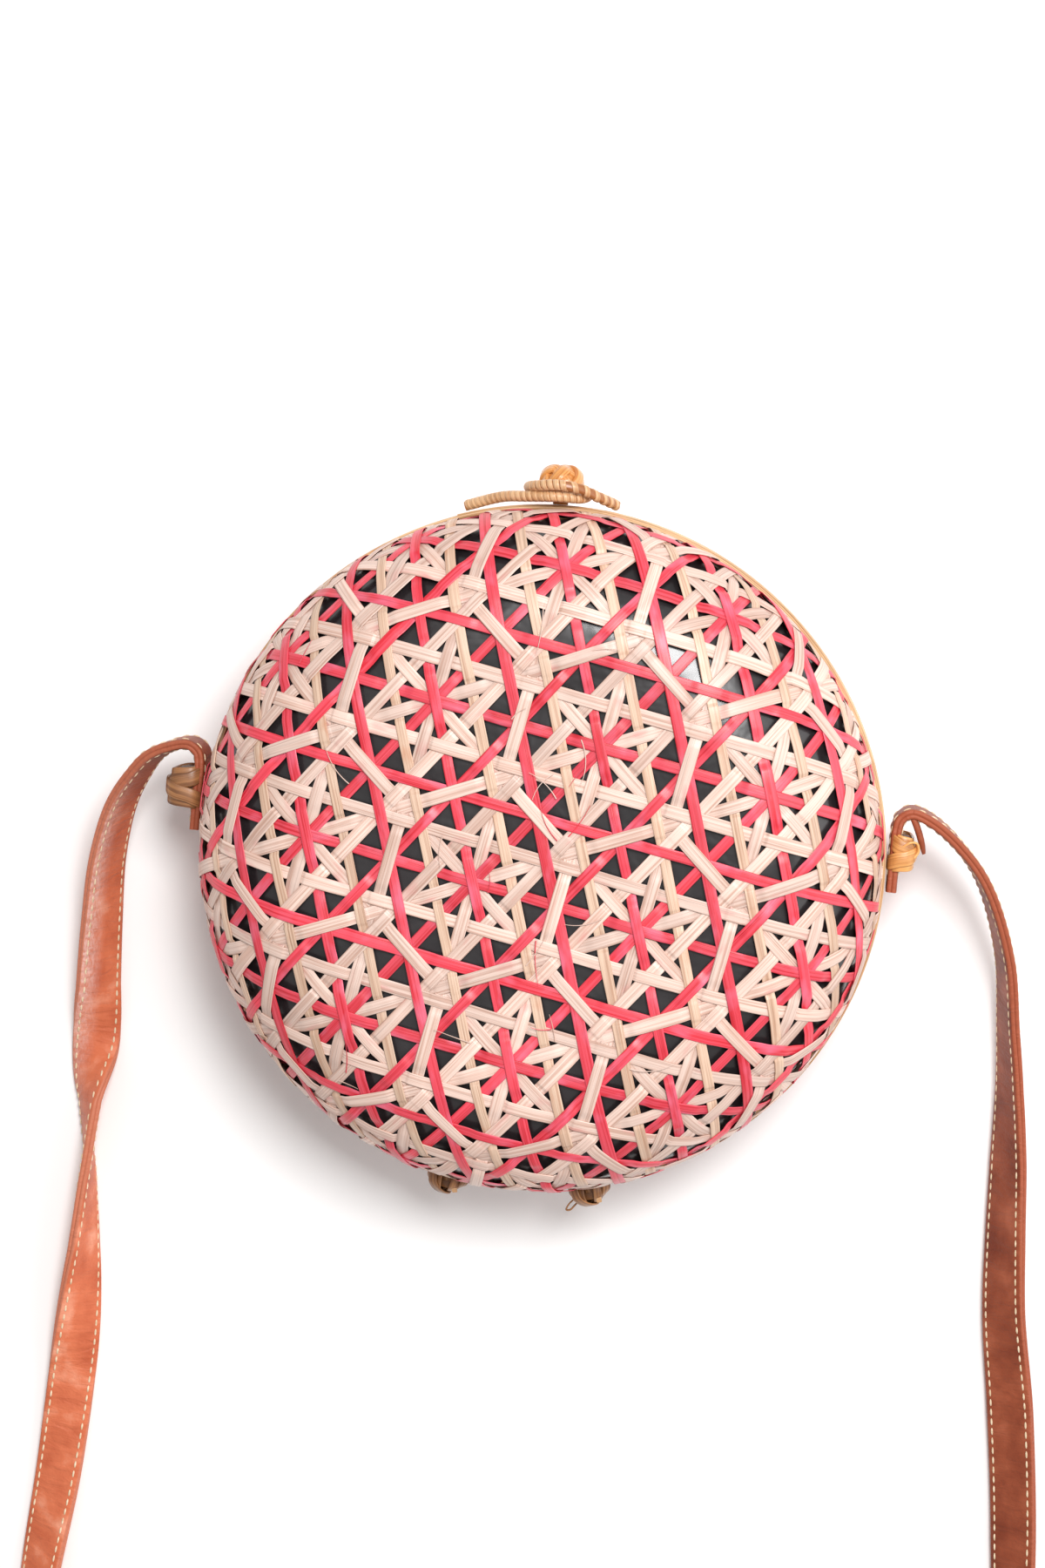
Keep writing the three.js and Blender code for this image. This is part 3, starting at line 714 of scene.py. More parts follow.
# The clasp loop. A cane cord comes up from the back hoop, is passed round the knob and goes
# back to the hoop. It is closely wound with fine split cane, and more openly at its tail.
LOOP_RADIUS = 1.6
LOOP_CORE = 2.5
LOOP_BEARINGS = (107.4, 82.8)
LOOP_TOUCHING = HOOP_OUTER + 0.3 + LOOP_RADIUS
LOOP_STEPS = 12
LOOP_TAIL = 22.0
LOOP_ROUTE = [  # along the rim from the knob, out from the rim, and up, in radii
    (-2.5, 0.5, 0.2),
    (-1.45, 0.3, 0.75),
    (-0.1, 0.3, 1.1),
    (0.9, 0.35, 0.72),
    (1.15, 0.85, -0.15),
    (0.85, 1.3, -1.0),
    (-0.1, 1.4, -1.3),
    (-1.0, 1.6, -0.85),
    (-1.42, 1.9, -0.05),
    (-1.0, 2.15, 1.0),
    (-0.1, 2.4, 1.4),
    (0.9, 2.0, 1.25),
    (1.65, 1.0, 0.7),
]
WINDING_PITCH = 1.75
WINDING_THICKNESS = 0.55
WINDING_FILL = 0.97
WINDING_STATIONS = 14


def smooth_route(points, steps):
    """A smooth line through points, with a number of stations from each one to the next."""
    points = np.array(points, float)
    points = np.vstack([2 * points[0] - points[1], points, 2 * points[-1] - points[-2]])
    line = []
    for i in range(1, len(points) - 2):
        p0, p1, p2, p3 = points[i - 1 : i + 3]
        d0, d1, d2 = (math.sqrt(np.linalg.norm(b - a)) for a, b in ((p0, p1), (p1, p2), (p2, p3)))
        t1 = ((p1 - p0) / d0 - (p2 - p0) / (d0 + d1) + (p2 - p1) / d1) * d1
        t2 = ((p2 - p1) / d1 - (p3 - p1) / (d1 + d2) + (p3 - p2) / d2) * d1
        for t in np.arange(steps) / steps:
            cubic = (2 * p1 - 2 * p2 + t1 + t2) * t**3 + (3 * p2 - 3 * p1 - 2 * t1 - t2) * t**2
            line.append(cubic + t1 * t + p1)
    line.append(points[-2])
    return np.array(line)


def untwisted(line):
    """Two directions square to a line, carried along it without twist."""
    ahead = unit(np.gradient(line, axis=0))
    first = [np.cross(ahead[0], (0.3, 0.1, 1.0))]
    for way in ahead[1:]:
        first.append(first[-1] - way * (first[-1] @ way))
        first[-1] /= np.linalg.norm(first[-1])
    first[0] /= np.linalg.norm(first[0])
    first = np.array(first)
    return first, np.cross(ahead, first)


def read_off(at, way, *tables):
    """Rows of tables that follow a line, read off at distances along it."""
    return [np.column_stack([np.interp(at, way, t[:, i]) for i in range(3)]) for t in tables]


def wound(line, radius, turns_to):
    """A helix round a line: turns_to gives the number of turns up to each part of its length."""
    way = line_way(line)
    turns = np.array([turns_to(w) for w in way])
    turn = np.linspace(0, turns[-1], int(turns[-1] * WINDING_STATIONS))
    point, first, second = read_off(np.interp(turn, turns, way), way, line, *untwisted(line))
    angle = 2 * math.pi * turn[:, None]
    outward = first * np.cos(angle) + second * np.sin(angle)
    return point + outward * radius, outward


def at_rim(bearing):
    """A place that touches the back hoop from outside, at a bearing in degrees."""
    a = math.radians(bearing)
    return (LOOP_TOUCHING * math.cos(a), LOOP_TOUCHING * math.sin(a), HALF_DEPTH - HOOP_MIDDLE)


knob_x = LOOP_TOUCHING * math.cos(KNOB_BEARING)
route = [at_rim(LOOP_BEARINGS[0])]
for across, out, up in LOOP_ROUTE:
    x = knob_x + across * KNOB_RADIUS
    y = math.sqrt(LOOP_TOUCHING**2 - x * x) + out * LOOP_RADIUS
    route.append((x, y, KNOB_Z + up * KNOB_RADIUS))
route.append(at_rim(LOOP_BEARINGS[1]))
loop_line = smooth_route(route, LOOP_STEPS)
tail_start = line_way(loop_line)[-1] - LOOP_TAIL


def loop_turns(way):
    """Turns of the winding up to a place on the loop. Its tail has half as many."""
    closed = min(way, tail_start) / WINDING_PITCH
    return closed + max(way - tail_start, 0) / (2 * WINDING_PITCH)


winding_cane = cane_finish(
    "winding_cane", 0.4, 0.2, 0.14, (196, 146, 100), (224, 182, 138), (180, 120, 72)
)
bare_cane = cane_finish(
    "bare_cane", 0.38, 0.3, 0.2, (160, 96, 48), (208, 142, 84), (140, 80, 40)
)
run = (*wound(loop_line, LOOP_RADIUS - WINDING_THICKNESS / 2, loop_turns), 0.6, 1.0)
winding = cane_piece(
    "clasp_loop_winding", [run], WINDING_PITCH * WINDING_FILL, WINDING_THICKNESS, winding_cane
)
run = (loop_line, untwisted(loop_line)[0], 0.2, 1.0)
core = cane_piece("clasp_loop_core", [run], LOOP_CORE, LOOP_CORE, bare_cane)
for part in (winding, core):
    fitted(part, "back_half", "hoop_cane", "clasp_loop")

# The hinge lashings. A flat brown cane is passed several times through both rims at the bottom,
# its turns drawn together outside into a lump. A thin end of the right one is left in a loose
# loop, and both show a short cut end of the core of the cane.
TIE_BEARINGS = {"left": math.radians(-100.6), "right": math.radians(-76.6)}
TIE_TURNS = [
    # along the rim at the top, outside and at the bottom
    (0.0, 0.4, -0.4),
    (5.2, 3.1, 4.6),
    (-5.0, -3.0, -4.8),
    (2.6, 1.7, -3.4),
    (-2.8, -1.9, 3.0),
    (-4.4, 0.3, 1.6),
]
TIE_REACH = 2.5
TIE_HALF_HEIGHT = 5.5
TIE_INSET = 1.2  # how far the turns' ends lie inside the rim
TIE_ENDS = 0.04  # angle that is left open at each end of a turn
TIE_STATIONS = 33
TIE_DRAWING = 1.6  # how late a turn leaves its place outside
TIE_SQUARENESS = 0.8
TIE_LAYER = 1.04  # from turn to turn, in thicknesses
TIE_LAYER_ONSET = 2.4  # how soon from its ends a turn has its full lift
TIE_LAYER_RISE = 0.6  # share of that lift by which it is also taller
TIE_STRIP_WIDTH = 2.9
TIE_STRIP_THICKNESS = 0.62
TIE_CORE = (9.6, 5.2)
TIE_CORE_REACH = 4.6
TIE_CORE_TAPER = 0.5
LOOSE_LOOP = [
    (-3.0, 3.6, 1.2),
    (-5.0, 5.4, 0.6),
    (-6.6, 6.9, 0.2),
    (-7.6, 6.8, 0.2),
    (-6.8, 5.2, 0.4),
    (-4.2, 3.0, 0.9),
]
LOOSE_CANE = 0.5
CUT_ENDS = {"left": (2.6, 3.0, 4.4), "right": (2.2, 3.4, 4.4)}
CUT_END_WAY = np.array((0.2, -0.45, 0.87))
CUT_END_WIDTH = 1.6
CUT_END_LENGTH = 2.2

lashing_cane = cane_finish(
    "lashing_cane", 0.42, 0.2, 0.24, (124, 78, 45), (170, 118, 74), (92, 56, 32)
)


def rim_place(bearing, along, out, up):
    """A place by the rim: along it from a bearing, out of the hoops, and over the mouth plane."""
    a = bearing + along / HOOP_OUTER
    radius = HOOP_OUTER + out
    return np.array((radius * math.cos(a), radius * math.sin(a), HALF_DEPTH + up))


def rounded_ends(taper):
    """A girth at nine places that narrows towards both ends."""
    return 1 - taper * np.linspace(-1, 1, 9) ** 4


for side, bearing in TIE_BEARINGS.items():
    draw = random.Random(side)
    middle = rim_place(bearing, 0, 0.4, 0)
    runs = []
    for layer, (top, outside, bottom) in enumerate(TIE_TURNS):
        line = []
        for a in np.linspace(TIE_ENDS, math.pi - TIE_ENDS, TIE_STATIONS):
            c, s = math.cos(a), math.sin(a)
            to_top, to_bottom = max(c, 0) ** TIE_DRAWING, max(-c, 0) ** TIE_DRAWING
            along = outside + (top - outside) * to_top + (bottom - outside) * to_bottom
            onset = min(1, TIE_LAYER_ONSET * s) ** 0.5
            lift = layer * TIE_STRIP_THICKNESS * TIE_LAYER * onset
            out = (TIE_REACH + lift + TIE_INSET) * s**TIE_SQUARENESS - TIE_INSET
            up = TIE_HALF_HEIGHT + TIE_LAYER_RISE * lift
            up *= math.copysign(abs(c) ** TIE_SQUARENESS, c)
            line.append(rim_place(bearing, along, out, up))
        runs.append((np.array(line), unit(np.array(line) - middle), draw.random(), 1.0))
    places = np.linspace(-TIE_CORE_REACH, TIE_CORE_REACH, 9)
    line = np.array([rim_place(bearing, along, 1.4, 0) for along in places])
    run = (line, line - (0, 0, HALF_DEPTH), 0.1, rounded_ends(TIE_CORE_TAPER))
    parts = [cane_piece(f"hinge_tie_{side}_core", [run], *TIE_CORE, lashing_cane, sides=16)]
    size = (TIE_STRIP_WIDTH, TIE_STRIP_THICKNESS)
    parts.append(cane_piece(f"hinge_tie_{side}_turns", runs, *size, lashing_cane))
    cut, reach = rim_place(bearing, *CUT_ENDS[side]), CUT_END_WAY * CUT_END_LENGTH
    run = (np.array([cut - reach, cut, cut + reach / 2]), np.tile((1.0, 0.2, 0), (3, 1)), 0.9, 1.0)
    size = (CUT_END_WIDTH, CUT_END_WIDTH)
    parts.append(cane_piece(f"hinge_tie_{side}_cut_end", [run], *size, winding_cane))
    if side == "right":
        line = smooth_route([rim_place(bearing, *place) for place in LOOSE_LOOP], 6)
        run = (line, untwisted(line)[0], 0.6, 1.0)
        size = (LOOSE_CANE, LOOSE_CANE)
        parts.append(cane_piece("hinge_tie_right_loose_loop", [run], *size, lashing_cane))
    for part in parts:
        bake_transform(part)
        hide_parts("hinge_tie_" + side)

# The strap. Two layers of tan leather are glued and stitched back to back along their whole
# length. It lies in one long loop, twists over once at the left, and both ends are lashed on.
STRAP_WIDTH = 14.5
STRAP_THICKNESS = 3.2
STRAP_END_Z = 36.0
STRAP_END_TAIL = 6.0
STRAP_BEND = 5.6
FLOOR_GAP = 0.05
BEND_ROUTE = [(0, 0.1), (0.14, 0.65), (0.65, 1)]  # outwards and along the rim, in bends
KNOTS = {  # side, then the lashing's middle and length along the rim, and how far it stands out
    "left": (-1, 8.4, 13.0, 11.0),
    "right": (1, 9.4, 11.4, 7.6),
}
STRAP_ROUTE = [  # across and up the bag in its radii, lift in strap widths, and turn in degrees
    (-1.12, 0.197, 1.93, 90),
    (-1.18, 0.162, 1.82, 84),
    (-1.23, 0.1, 1.6, 78),
    (-1.29, -0.01, 1.2, 70),
    (-1.335, -0.185, 0.7, 61),
    (-1.35, -0.37, 0.35, 52),
    (-1.355, -0.6, 0.1, 40),
    (-1.36, -0.78, 0, 2),
    (-1.355, -0.96, 0, -58),
    (-1.345, -1.2, 0, -90),
    (-1.34, -1.42, 0, -112),
    (-1.345, -1.66, 0, -145),
    (-1.355, -1.83, 0, -168),
    (-1.375, -2.15, 0, -190),
    (-1.41, -2.55, 0, -215),
    (-1.41, -2.98, 0, -238),
    (-1.33, -3.42, 0, -255),
    (-1.13, -3.85, 0, -265),
    (-0.82, -4.21, 0, -270),
    (-0.4, -4.47, 0, -270),
    (0.08, -4.56, 0, -270),
    (0.56, -4.47, 0, -270),
    (0.98, -4.21, 0, -270),
    (1.29, -3.84, 0, -272),
    (1.5, -3.4, 0, -278),
    (1.6, -2.95, 0, -292),
    (1.63, -2.48, 0, -312),
    (1.6, -2.02, 0, -330),
    (1.55, -1.62, 0, -334),
    (1.5, -1.32, 0.02, -322),
    (1.48, -1.08, 0.04, -315),
    (1.465, -0.85, 0.08, -308),
    (1.445, -0.62, 0.16, -294),
    (1.42, -0.43, 0.35, -287),
    (1.385, -0.21, 0.75, -282),
    (1.3, 0.01, 1.3, -276),
    (1.205, 0.128, 1.65, -272),
    (1.115, 0.195, 1.93, -270),
]
STRAP_STEPS = 10
LAYER_THICKNESS = 1.95
# How dark the leather is along the strap. It is darker at both lashed ends. It is paler on the left
# stretch, partly fading and partly painted light. It is darker round the bottom and up the right
# leg, partly wear and partly painted shade.
WEAR_AND_SHADING = [(0, 1.0), (26, 0.9), (70, 0.0), (350, 0.0), (750, 1.0)]  # along the strap, and how dark
STRAP_INNER = HOOP_OUTER + 0.3
# Its two colours: worn and dark, partly painted shade, and faded and pale, partly painted light.
WORN_SHADED_LEATHER = ((0.3, (120, 54, 34)), (0.55, (150, 76, 50)), (0.75, (176, 98, 70)))
FADED_LIT_LEATHER = ((0.3, (188, 92, 60)), (0.55, (213, 116, 80)), (0.75, (236, 162, 132)))
# A painted sheen: a pale band along the upper edge of the strap's left stretch, where light glances
# off the leather.
PAINTED_SHEEN_COLOUR = (238, 200, 190)
PAINTED_SHEEN_ACROSS = (-0.001, 0.006)  # in metres from the middle: where it starts and is full
PAINTED_SHEEN_ALONG = ((0.03, 0.075), (0.19, 0.11))  # the same from the left end, at both of its ends
RAW_EDGES = ((200, 120, 92), (164, 86, 60))
RAW_EDGE_PLACE = (0.00685, 0.0071)


def strap_end(side, middle, length, turn):
    """Rows of the lashed end: along the rim, then bent outwards over its lashing."""
    x = side * (STRAP_INNER + STRAP_THICKNESS / 2)
    low, high = middle - length / 2, middle + length / 2
    rows = [(x, low - STRAP_END_TAIL), (x, low), (x, middle)]
    rows += [(x + side * out * STRAP_BEND, high + along * STRAP_BEND) for out, along in BEND_ROUTE]
    return [(east, north, STRAP_END_Z, turn) for east, north in rows]


rows = strap_end(*KNOTS["left"][:3], STRAP_ROUTE[0][3])
for out, north, lift, turn in STRAP_ROUTE:
    half_width = STRAP_WIDTH / 2 * abs(math.sin(math.radians(turn)))
    half_wall = STRAP_THICKNESS / 2 * abs(math.cos(math.radians(turn)))
    z = min(half_width + half_wall + FLOOR_GAP + lift * STRAP_WIDTH, STRAP_END_Z)
    rows.append((out * WEAVE_RADIUS, north * WEAVE_RADIUS, z, turn))
rows += strap_end(*KNOTS["right"][:3], STRAP_ROUTE[-1][3])[::-1]
rows = np.array(rows)
strap_line = smooth_route(rows[:, :3], STRAP_STEPS)
stations = np.arange(len(strap_line)) / STRAP_STEPS
strap_turn = np.radians(np.interp(stations, np.arange(len(rows)), rows[:, 3]))[:, None]
strap_ahead = unit(np.gradient(strap_line, axis=0))
strap_inward = unit(np.cross((0, 0, 1), strap_ahead))
strap_above = np.cross(strap_ahead, strap_inward)
strap_face = strap_above * np.cos(strap_turn) + strap_inward * np.sin(strap_turn)
strap_across = np.cross(strap_face, strap_ahead)
strap_way = line_way(strap_line)


def leather_finish():
    """Tan leather, darker at its ends and round to its right leg, partly wear and partly painted
    shade, and paler on its left stretch, partly fading and partly painted light: mottled, creased
    across, finely pored, with orange edges and a painted sheen, a pale band along the upper edge of
    its left stretch."""
    finish, tree, shader = new_finish("strap_leather", 0.45, Specular_IOR_Level=0.22)
    along, across, share = (surface_value(tree, name) for name in ("along", "across", "tone"))
    place = add_node(tree, "ShaderNodeCombineXYZ", {"X": along, "Y": across}).outputs[0]

    def drawn_out(scales, detail, distortion):
        """A soft random pattern with a scale along the strap and one across it."""
        values = {0: place, 1: (*scales, 0.0)}
        scaled = add_node(tree, "ShaderNodeVectorMath", values, operation="MULTIPLY").outputs[0]
        return clouds(tree, scaled, 1.0, detail, distortion)

    mottle = clouds(tree, place, 90.0, 7.0)
    # Worn dark leather, partly painted shade, is mixed with faded pale leather, partly painted
    # light, by the tone along the strap.
    worn_shaded, faded_lit = (colour_ramp(tree, mottle, *stops) for stops in (WORN_SHADED_LEATHER, FADED_LIT_LEATHER))
    face = mixed(tree, share, faded_lit, worn_shaded)
    # The painted sheen: a pale band along one edge of the left stretch, with fine crinkles.
    painted_sheen = ranged(tree, drawn_out((420.0, 900.0), 4.0, 1.4), 0.35, 0.65, 0.25, 0.8)
    for value, limits in ((across, PAINTED_SHEEN_ACROSS), *((along, limits) for limits in PAINTED_SHEEN_ALONG)):
        limit = ranged(tree, value, *limits, interpolation_type="SMOOTHSTEP")
        painted_sheen = maths(tree, "MULTIPLY", painted_sheen, limit)
    face = mixed(tree, painted_sheen, face, linear(*PAINTED_SHEEN_COLOUR))
    raw = mixed(tree, share, *(linear(*colour) for colour in RAW_EDGES))
    edge = ranged(tree, maths(tree, "ABSOLUTE", across), *RAW_EDGE_PLACE)
    tree.links.new(mixed(tree, edge, face, raw), shader.inputs["Base Color"])
    pores = add_node(tree, "ShaderNodeTexVoronoi", {"Vector": place, "Scale": 1300.0})
    fine = relief(tree, pores.outputs["Distance"], 0.3, 0.0002)
    creases = relief(tree, drawn_out((330.0, 90.0), 5.0, 1.0), 0.6, 0.0012, fine)
    tree.links.new(creases, shader.inputs["Normal"])
    return finish


strap_leather = leather_finish()
# The tone along the strap: wear, with painted light on the left stretch and painted shade round the
# bottom and up the right leg.
wear_and_shading = np.interp(strap_way, *zip(*WEAR_AND_SHADING))
for name, side in (("inner", 1), ("outer", -1)):
    middle = strap_line + strap_face * side * (STRAP_THICKNESS - LAYER_THICKNESS) / 2
    run = (middle, strap_face, wear_and_shading, 1.0)
    layer = cane_piece(
        f"strap_{name}_layer", [run], STRAP_WIDTH, LAYER_THICKNESS, strap_leather, sides=20
    )
    fitted(layer, "back_half", "strap_leather", "strap")

# The strap's tongue. The loose end of its outer layer hangs from the bend over the right
# lashing, cut narrower than the strap and curled down a little at its tip.
TONGUE_LENGTH = 12.0
TONGUE_WIDTH = 8.0
TONGUE_THICKNESS = 2.0
TONGUE_BEARING = math.radians(-60)
TONGUE_MARGIN = 0.9  # below the strap's upper edge
TONGUE_CURL = 1.6
TONGUE_DROOP = 0.8
TONGUE_POINT = (0.55, 3.6, 0.05)  # where its tip starts, how fast it narrows, what is left

share = np.linspace(0, 1, 14)
heading = np.array((*compass(TONGUE_BEARING), 0))
aside = np.array((heading[1], -heading[0], 0))
bend_top = rows[-3 - len(BEND_ROUTE), :3]
line = bend_top + (0, 0, STRAP_WIDTH / 2 - TONGUE_MARGIN - TONGUE_WIDTH / 2)
line = line + np.outer(share * TONGUE_LENGTH, heading) + np.outer(TONGUE_CURL * share**2, aside)
line += np.outer(share**2, (0, 0, -TONGUE_DROOP))
narrowing = np.clip(share - TONGUE_POINT[0], 0, 1) ** 2 * TONGUE_POINT[1]
girth = np.sqrt(np.clip(1 - narrowing, TONGUE_POINT[2], 1))
run = (line, np.tile(aside, (14, 1)), 1.0, girth)
tongue = cane_piece(
    "strap_tongue", [run], TONGUE_WIDTH, TONGUE_THICKNESS, strap_leather, sides=16
)
fitted(tongue, "back_half", "strap_leather", "strap")

# The stitches. Thick cream thread runs along both edges of the strap on both faces, each
# stitch a short plump grain sunk a little at its ends.
STITCH_PITCH = 3.0
STITCH_LENGTH = 2.3
STITCH_RADIUS = 0.36
STITCH_MARGIN = 1.7
STITCH_SINK = 0.14
THREAD_COLOURS = ((0.3, (206, 178, 140)), (0.7, (240, 220, 190)))


def stitch_tree():
    """Geometry Nodes that set a plump stitch on each point, turned along its direction."""
    tree = bpy.data.node_groups.new("stitches", "GeometryNodeTree")
    add_sockets(tree, "INPUT", "Geometry", "Points")
    add_sockets(tree, "INPUT", "Float", "Length", "Radius")
    add_sockets(tree, "INPUT", "Material", "Material")
    add_sockets(tree, "OUTPUT", "Geometry", "Stitches")
    given = add_node(tree, "NodeGroupInput").outputs
    values = {"Segments": 6, "Rings": 5, "Radius": 1.0}
    grain = add_node(tree, "GeometryNodeMeshUVSphere", values).outputs["Mesh"]
    grain = add_node(tree, "GeometryNodeSetShadeSmooth", {"Geometry": grain}).outputs[0]
    half = maths(tree, "MULTIPLY", given["Length"], 0.5)
    values = {"X": given["Radius"], "Y": given["Radius"], "Z": half}
    size = add_node(tree, "ShaderNodeCombineXYZ", values).outputs[0]
    ways = [point_value(tree, name, "FLOAT_VECTOR") for name in ("heading", "facing")]
    axes = {"primary_axis": "Z", "secondary_axis": "X"}
    turned = add_node(tree, "FunctionNodeAxesToRotation", dict(enumerate(ways)), **axes).outputs[0]
    values = {"Points": given["Points"], "Instance": grain, "Rotation": turned, "Scale": size}
    placed = add_node(tree, "GeometryNodeInstanceOnPoints", values).outputs[0]
    close_tree(tree, placed, given["Material"], "Stitches")
    return tree


thread, tree, shader = new_finish("stitch_thread", 0.7)
fuzz = clouds(tree, add_node(tree, "ShaderNodeTexCoord").outputs["Object"], 900.0, 3.0)
tree.links.new(colour_ramp(tree, fuzz, *THREAD_COLOURS), shader.inputs["Base Color"])
tree.links.new(relief(tree, fuzz, 0.4, 0.0002), shader.inputs["Normal"])

at = np.arange(STITCH_PITCH, strap_way[-1] - STITCH_PITCH, STITCH_PITCH)
strap_tables = (strap_line, strap_ahead, strap_face, strap_across)
middle, ahead, face, across = read_off(at, strap_way, *strap_tables)
points, facing, heading = [], [], []
for side in (-1, 1):
    for edge in (-1, 1):
        margin = edge * (STRAP_WIDTH / 2 - STITCH_MARGIN)
        points.append(middle + side * face * (STRAP_THICKNESS / 2 - STITCH_SINK) + across * margin)
        facing.append(side * face)
        heading.append(ahead)
mesh = bpy.data.meshes.new("strap_stitches")
mesh.from_pydata((np.concatenate(points) * MM).tolist(), [], [])
for key, ways in (("facing", facing), ("heading", heading)):
    kept = mesh.attributes.new(key, "FLOAT_VECTOR", "POINT")
    kept.data.foreach_set("vector", np.concatenate(ways).ravel())
size = {"Length": STITCH_LENGTH * MM, "Radius": STITCH_RADIUS * MM}
stitches = grown("strap_stitches", mesh, stitch_tree(), Material=thread, **size)
fitted(stitches, "back_half", "strap_leather")

# The strap's lashings. At each side a wide flat cane is wound round the strap's end and through
# the back rim. Its turns are drawn together outside and spread at the rim, so the strap's end
# shows between them, darkened by a core inside that is painted shade. The right one is golden,
# with the cane's thin end in a small loop.
KNOT_TURNS = [
    # along the strap's end at the rim, there on the outside, how far out it lies
    (4.1, 2.4, -0.3),
    (-4.1, -2.6, -0.2),
    (-4.2, -3.0, 0.3),
    (4.0, -0.4, 0.6),
    (-4.0, 0.2, 1.0),
]
KNOT_CHART_LENGTH = 8.2  # the length that these turns are drawn for
KNOT_STATIONS = 45
KNOT_STRIP_WIDTH = 4.4
KNOT_STRIP_THICKNESS = 0.9
KNOT_INSET = 0.9  # of the turns' middle from the outside
KNOT_OVER_STRAP = 0.6
KNOT_SQUARENESS = 0.62
KNOT_CORE_INSETS = (1.6, 1.6, 0.6)  # along the strap, up and outwards
KNOT_CORE_TAPER = 0.35
KNOT_LOOP = [
    (-1.0, 1.2, 8.0),
    (1.8, 3.4, 8.6),
    (3.6, 3.2, 7.6),
    (4.2, 0.8, 6.6),
    (2.6, -1.2, 7.2),
    (0.4, -0.4, 8.2),
]
KNOT_LOOP_CANE = (1.3, 0.7)

golden_cane = cane_finish(
    "golden_lashing_cane", 0.4, 0.3, 0.18, (186, 118, 58), (230, 168, 98), (150, 90, 44)
)
# A dark core painted as the shade deep inside each lashing, which shows between its turns.
shade_core_cane = cane_finish(
    "lashing_core_painted_shade", 0.5, 0.0, 0.2, (92, 58, 38), (122, 80, 52), (70, 44, 30)
)
for side, (sign, middle, length, protrusion) in KNOTS.items():
    draw = random.Random(side)
    runs = []
    centre = np.array((sign * (STRAP_INNER + protrusion / 2), middle, STRAP_END_Z))
    half_out = protrusion / 2 - KNOT_INSET
    half_up = STRAP_WIDTH / 2 + KNOT_OVER_STRAP
    spread = (length - KNOT_STRIP_WIDTH) / KNOT_CHART_LENGTH
    for inner, outer, lift in KNOT_TURNS:
        line, facing = [], []
        for a in np.linspace(math.pi, 3 * math.pi, KNOT_STATIONS):
            c, s = math.cos(a) * sign, math.sin(a)
            out = (half_out + lift) * math.copysign(abs(c) ** KNOT_SQUARENESS, c)
            up = (half_up + lift) * math.copysign(abs(s) ** KNOT_SQUARENESS, s)
            along = spread * ((inner + outer) / 2 + (outer - inner) / 2 * c * sign)
            line.append(centre + (out, along, up))
            facing.append((c * abs(c) / half_out, 0, s * abs(s) / half_up))
        runs.append((np.array(line), unit(np.array(facing)), draw.random(), 1.0))
    material = lashing_cane if side == "left" else golden_cane
    size = (KNOT_STRIP_WIDTH, KNOT_STRIP_THICKNESS)
    parts = [cane_piece(f"strap_knot_{side}_turns", runs, *size, material)]
    half = length / 2 - KNOT_CORE_INSETS[0]
    line = centre + np.outer(np.linspace(-half, half, 9), (0, 1, 0))
    run = (line, np.tile((sign, 0, 0), (9, 1)), 0.3, rounded_ends(KNOT_CORE_TAPER))
    size = (2 * half_up - KNOT_CORE_INSETS[1], 2 * half_out - KNOT_CORE_INSETS[2])
    parts.append(cane_piece(f"strap_knot_{side}_core", [run], *size, shade_core_cane, sides=16))
    if side == "right":
        line = smooth_route([centre + place for place in KNOT_LOOP], 6)
        run = (line, untwisted(line)[0], 0.8, 1.0)
        parts.append(cane_piece("strap_knot_right_loop", [run], *KNOT_LOOP_CANE, golden_cane))
    for part in parts:
        fitted(part, "back_half", "lashing_cane", "strap_knot_" + side)

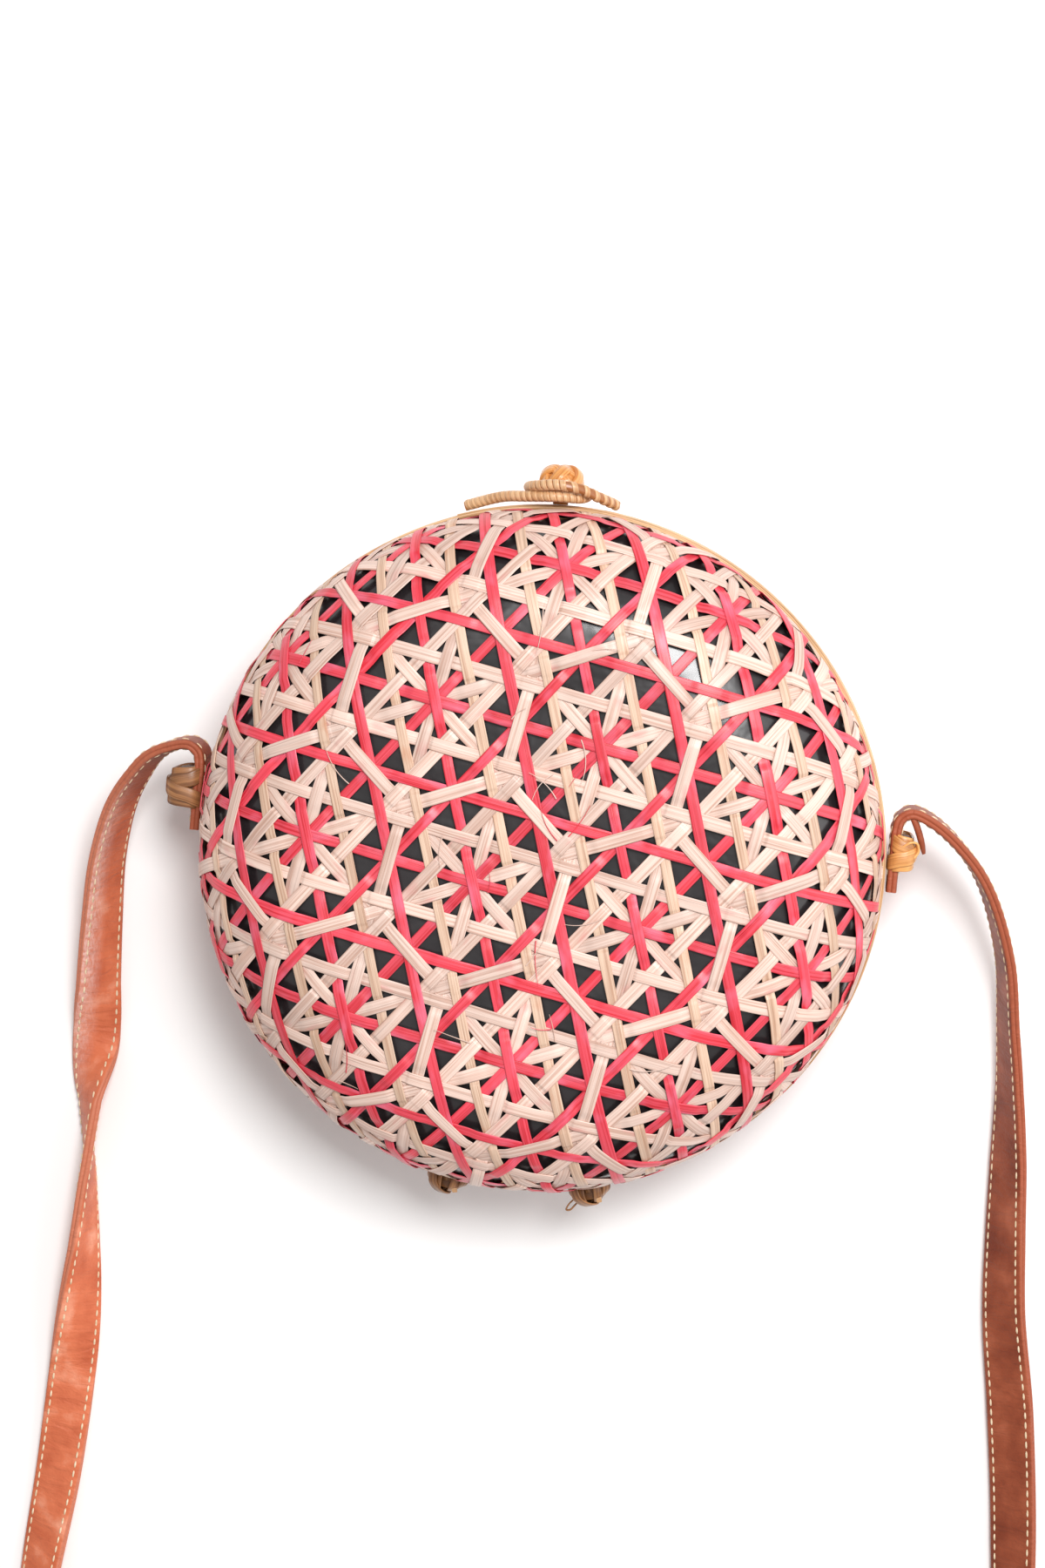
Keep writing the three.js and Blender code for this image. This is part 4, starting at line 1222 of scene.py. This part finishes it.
# The table under the bag, the light and the camera. The bag lies on its back on a pale surface
# under a large soft light, with a fainter one from the right, seen from nearly straight above.
FLOOR_REACH = 3000
FLOOR_COLOUR = (0.97, 0.965, 0.96, 1)
SKY_COLOUR = (1.0, 0.99, 0.98, 1)
SKY_STRENGTH = 0.46
LIGHTS = (  # name, place and size in metres, and energy
    ("key_light", (0.33, 0.62, 1.55), 0.5, 23.8),
    ("side_light", (1.3, 0.2, 0.8), 1.2, 8.0),
)
LIGHTS_AIM = Vector((0.0, -0.05, 0.0))
CAMERA_DISTANCE = 1000.0
CAMERA_TILT = math.radians(8)
CAMERA_TOWARDS = math.radians(50)
CAMERA_ROLL = math.radians(5)
MM_PER_PIXEL = 0.2525
IMAGE_SIZE = (1200, 1800)
BAG_PIXEL = (620.5, 975.5)
BAG_MIDDLE = np.array((0, 0, 42.4))

floor_finish, tree, shader = new_finish("pale_floor", 0.8)
shader.inputs["Base Color"].default_value = FLOOR_COLOUR
corners = [(x * FLOOR_REACH, y * FLOOR_REACH, 0) for x, y in ((-1, -1), (1, -1), (1, 1), (-1, 1))]
floor = mesh_piece("floor", corners, [(0, 1, 2, 3)], floor_finish)

world = bpy.data.worlds.new("studio")
bpy.context.scene.world = world
world.use_nodes = True
sky = world.node_tree.nodes["Background"].inputs
sky["Color"].default_value = SKY_COLOUR
sky["Strength"].default_value = SKY_STRENGTH

for name, place, size, energy in LIGHTS:
    lamp = bpy.data.lights.new(name, "AREA")
    lamp.size = size
    lamp.energy = energy
    holder = added(name, lamp)
    holder.location = place
    holder.rotation_mode = "QUATERNION"
    holder.rotation_quaternion = (Vector(place) - LIGHTS_AIM).to_track_quat("Z", "Y")

back = math.sin(CAMERA_TILT) * compass(CAMERA_TOWARDS)
back = np.array((*back, math.cos(CAMERA_TILT)))
up = np.array((-math.sin(CAMERA_ROLL), math.cos(CAMERA_ROLL), 0))
up -= back * (up @ back)
up /= np.linalg.norm(up)
right = np.cross(up, back)
aside = (BAG_PIXEL[0] - IMAGE_SIZE[0] / 2) * MM_PER_PIXEL
below = (IMAGE_SIZE[1] / 2 - BAG_PIXEL[1]) * MM_PER_PIXEL
camera_place = (BAG_MIDDLE + back * CAMERA_DISTANCE - right * aside - up * below) * MM
camera = bpy.data.cameras.new("camera")
camera.lens = CAMERA_DISTANCE / MM_PER_PIXEL / IMAGE_SIZE[1] * camera.sensor_width
viewer = added("camera", camera)
viewer.matrix_world = Matrix.LocRotScale(camera_place, Matrix((right, up, back)).transposed(), None)
bpy.context.scene.camera = viewer
bpy.context.scene.view_settings.view_transform = "Standard"
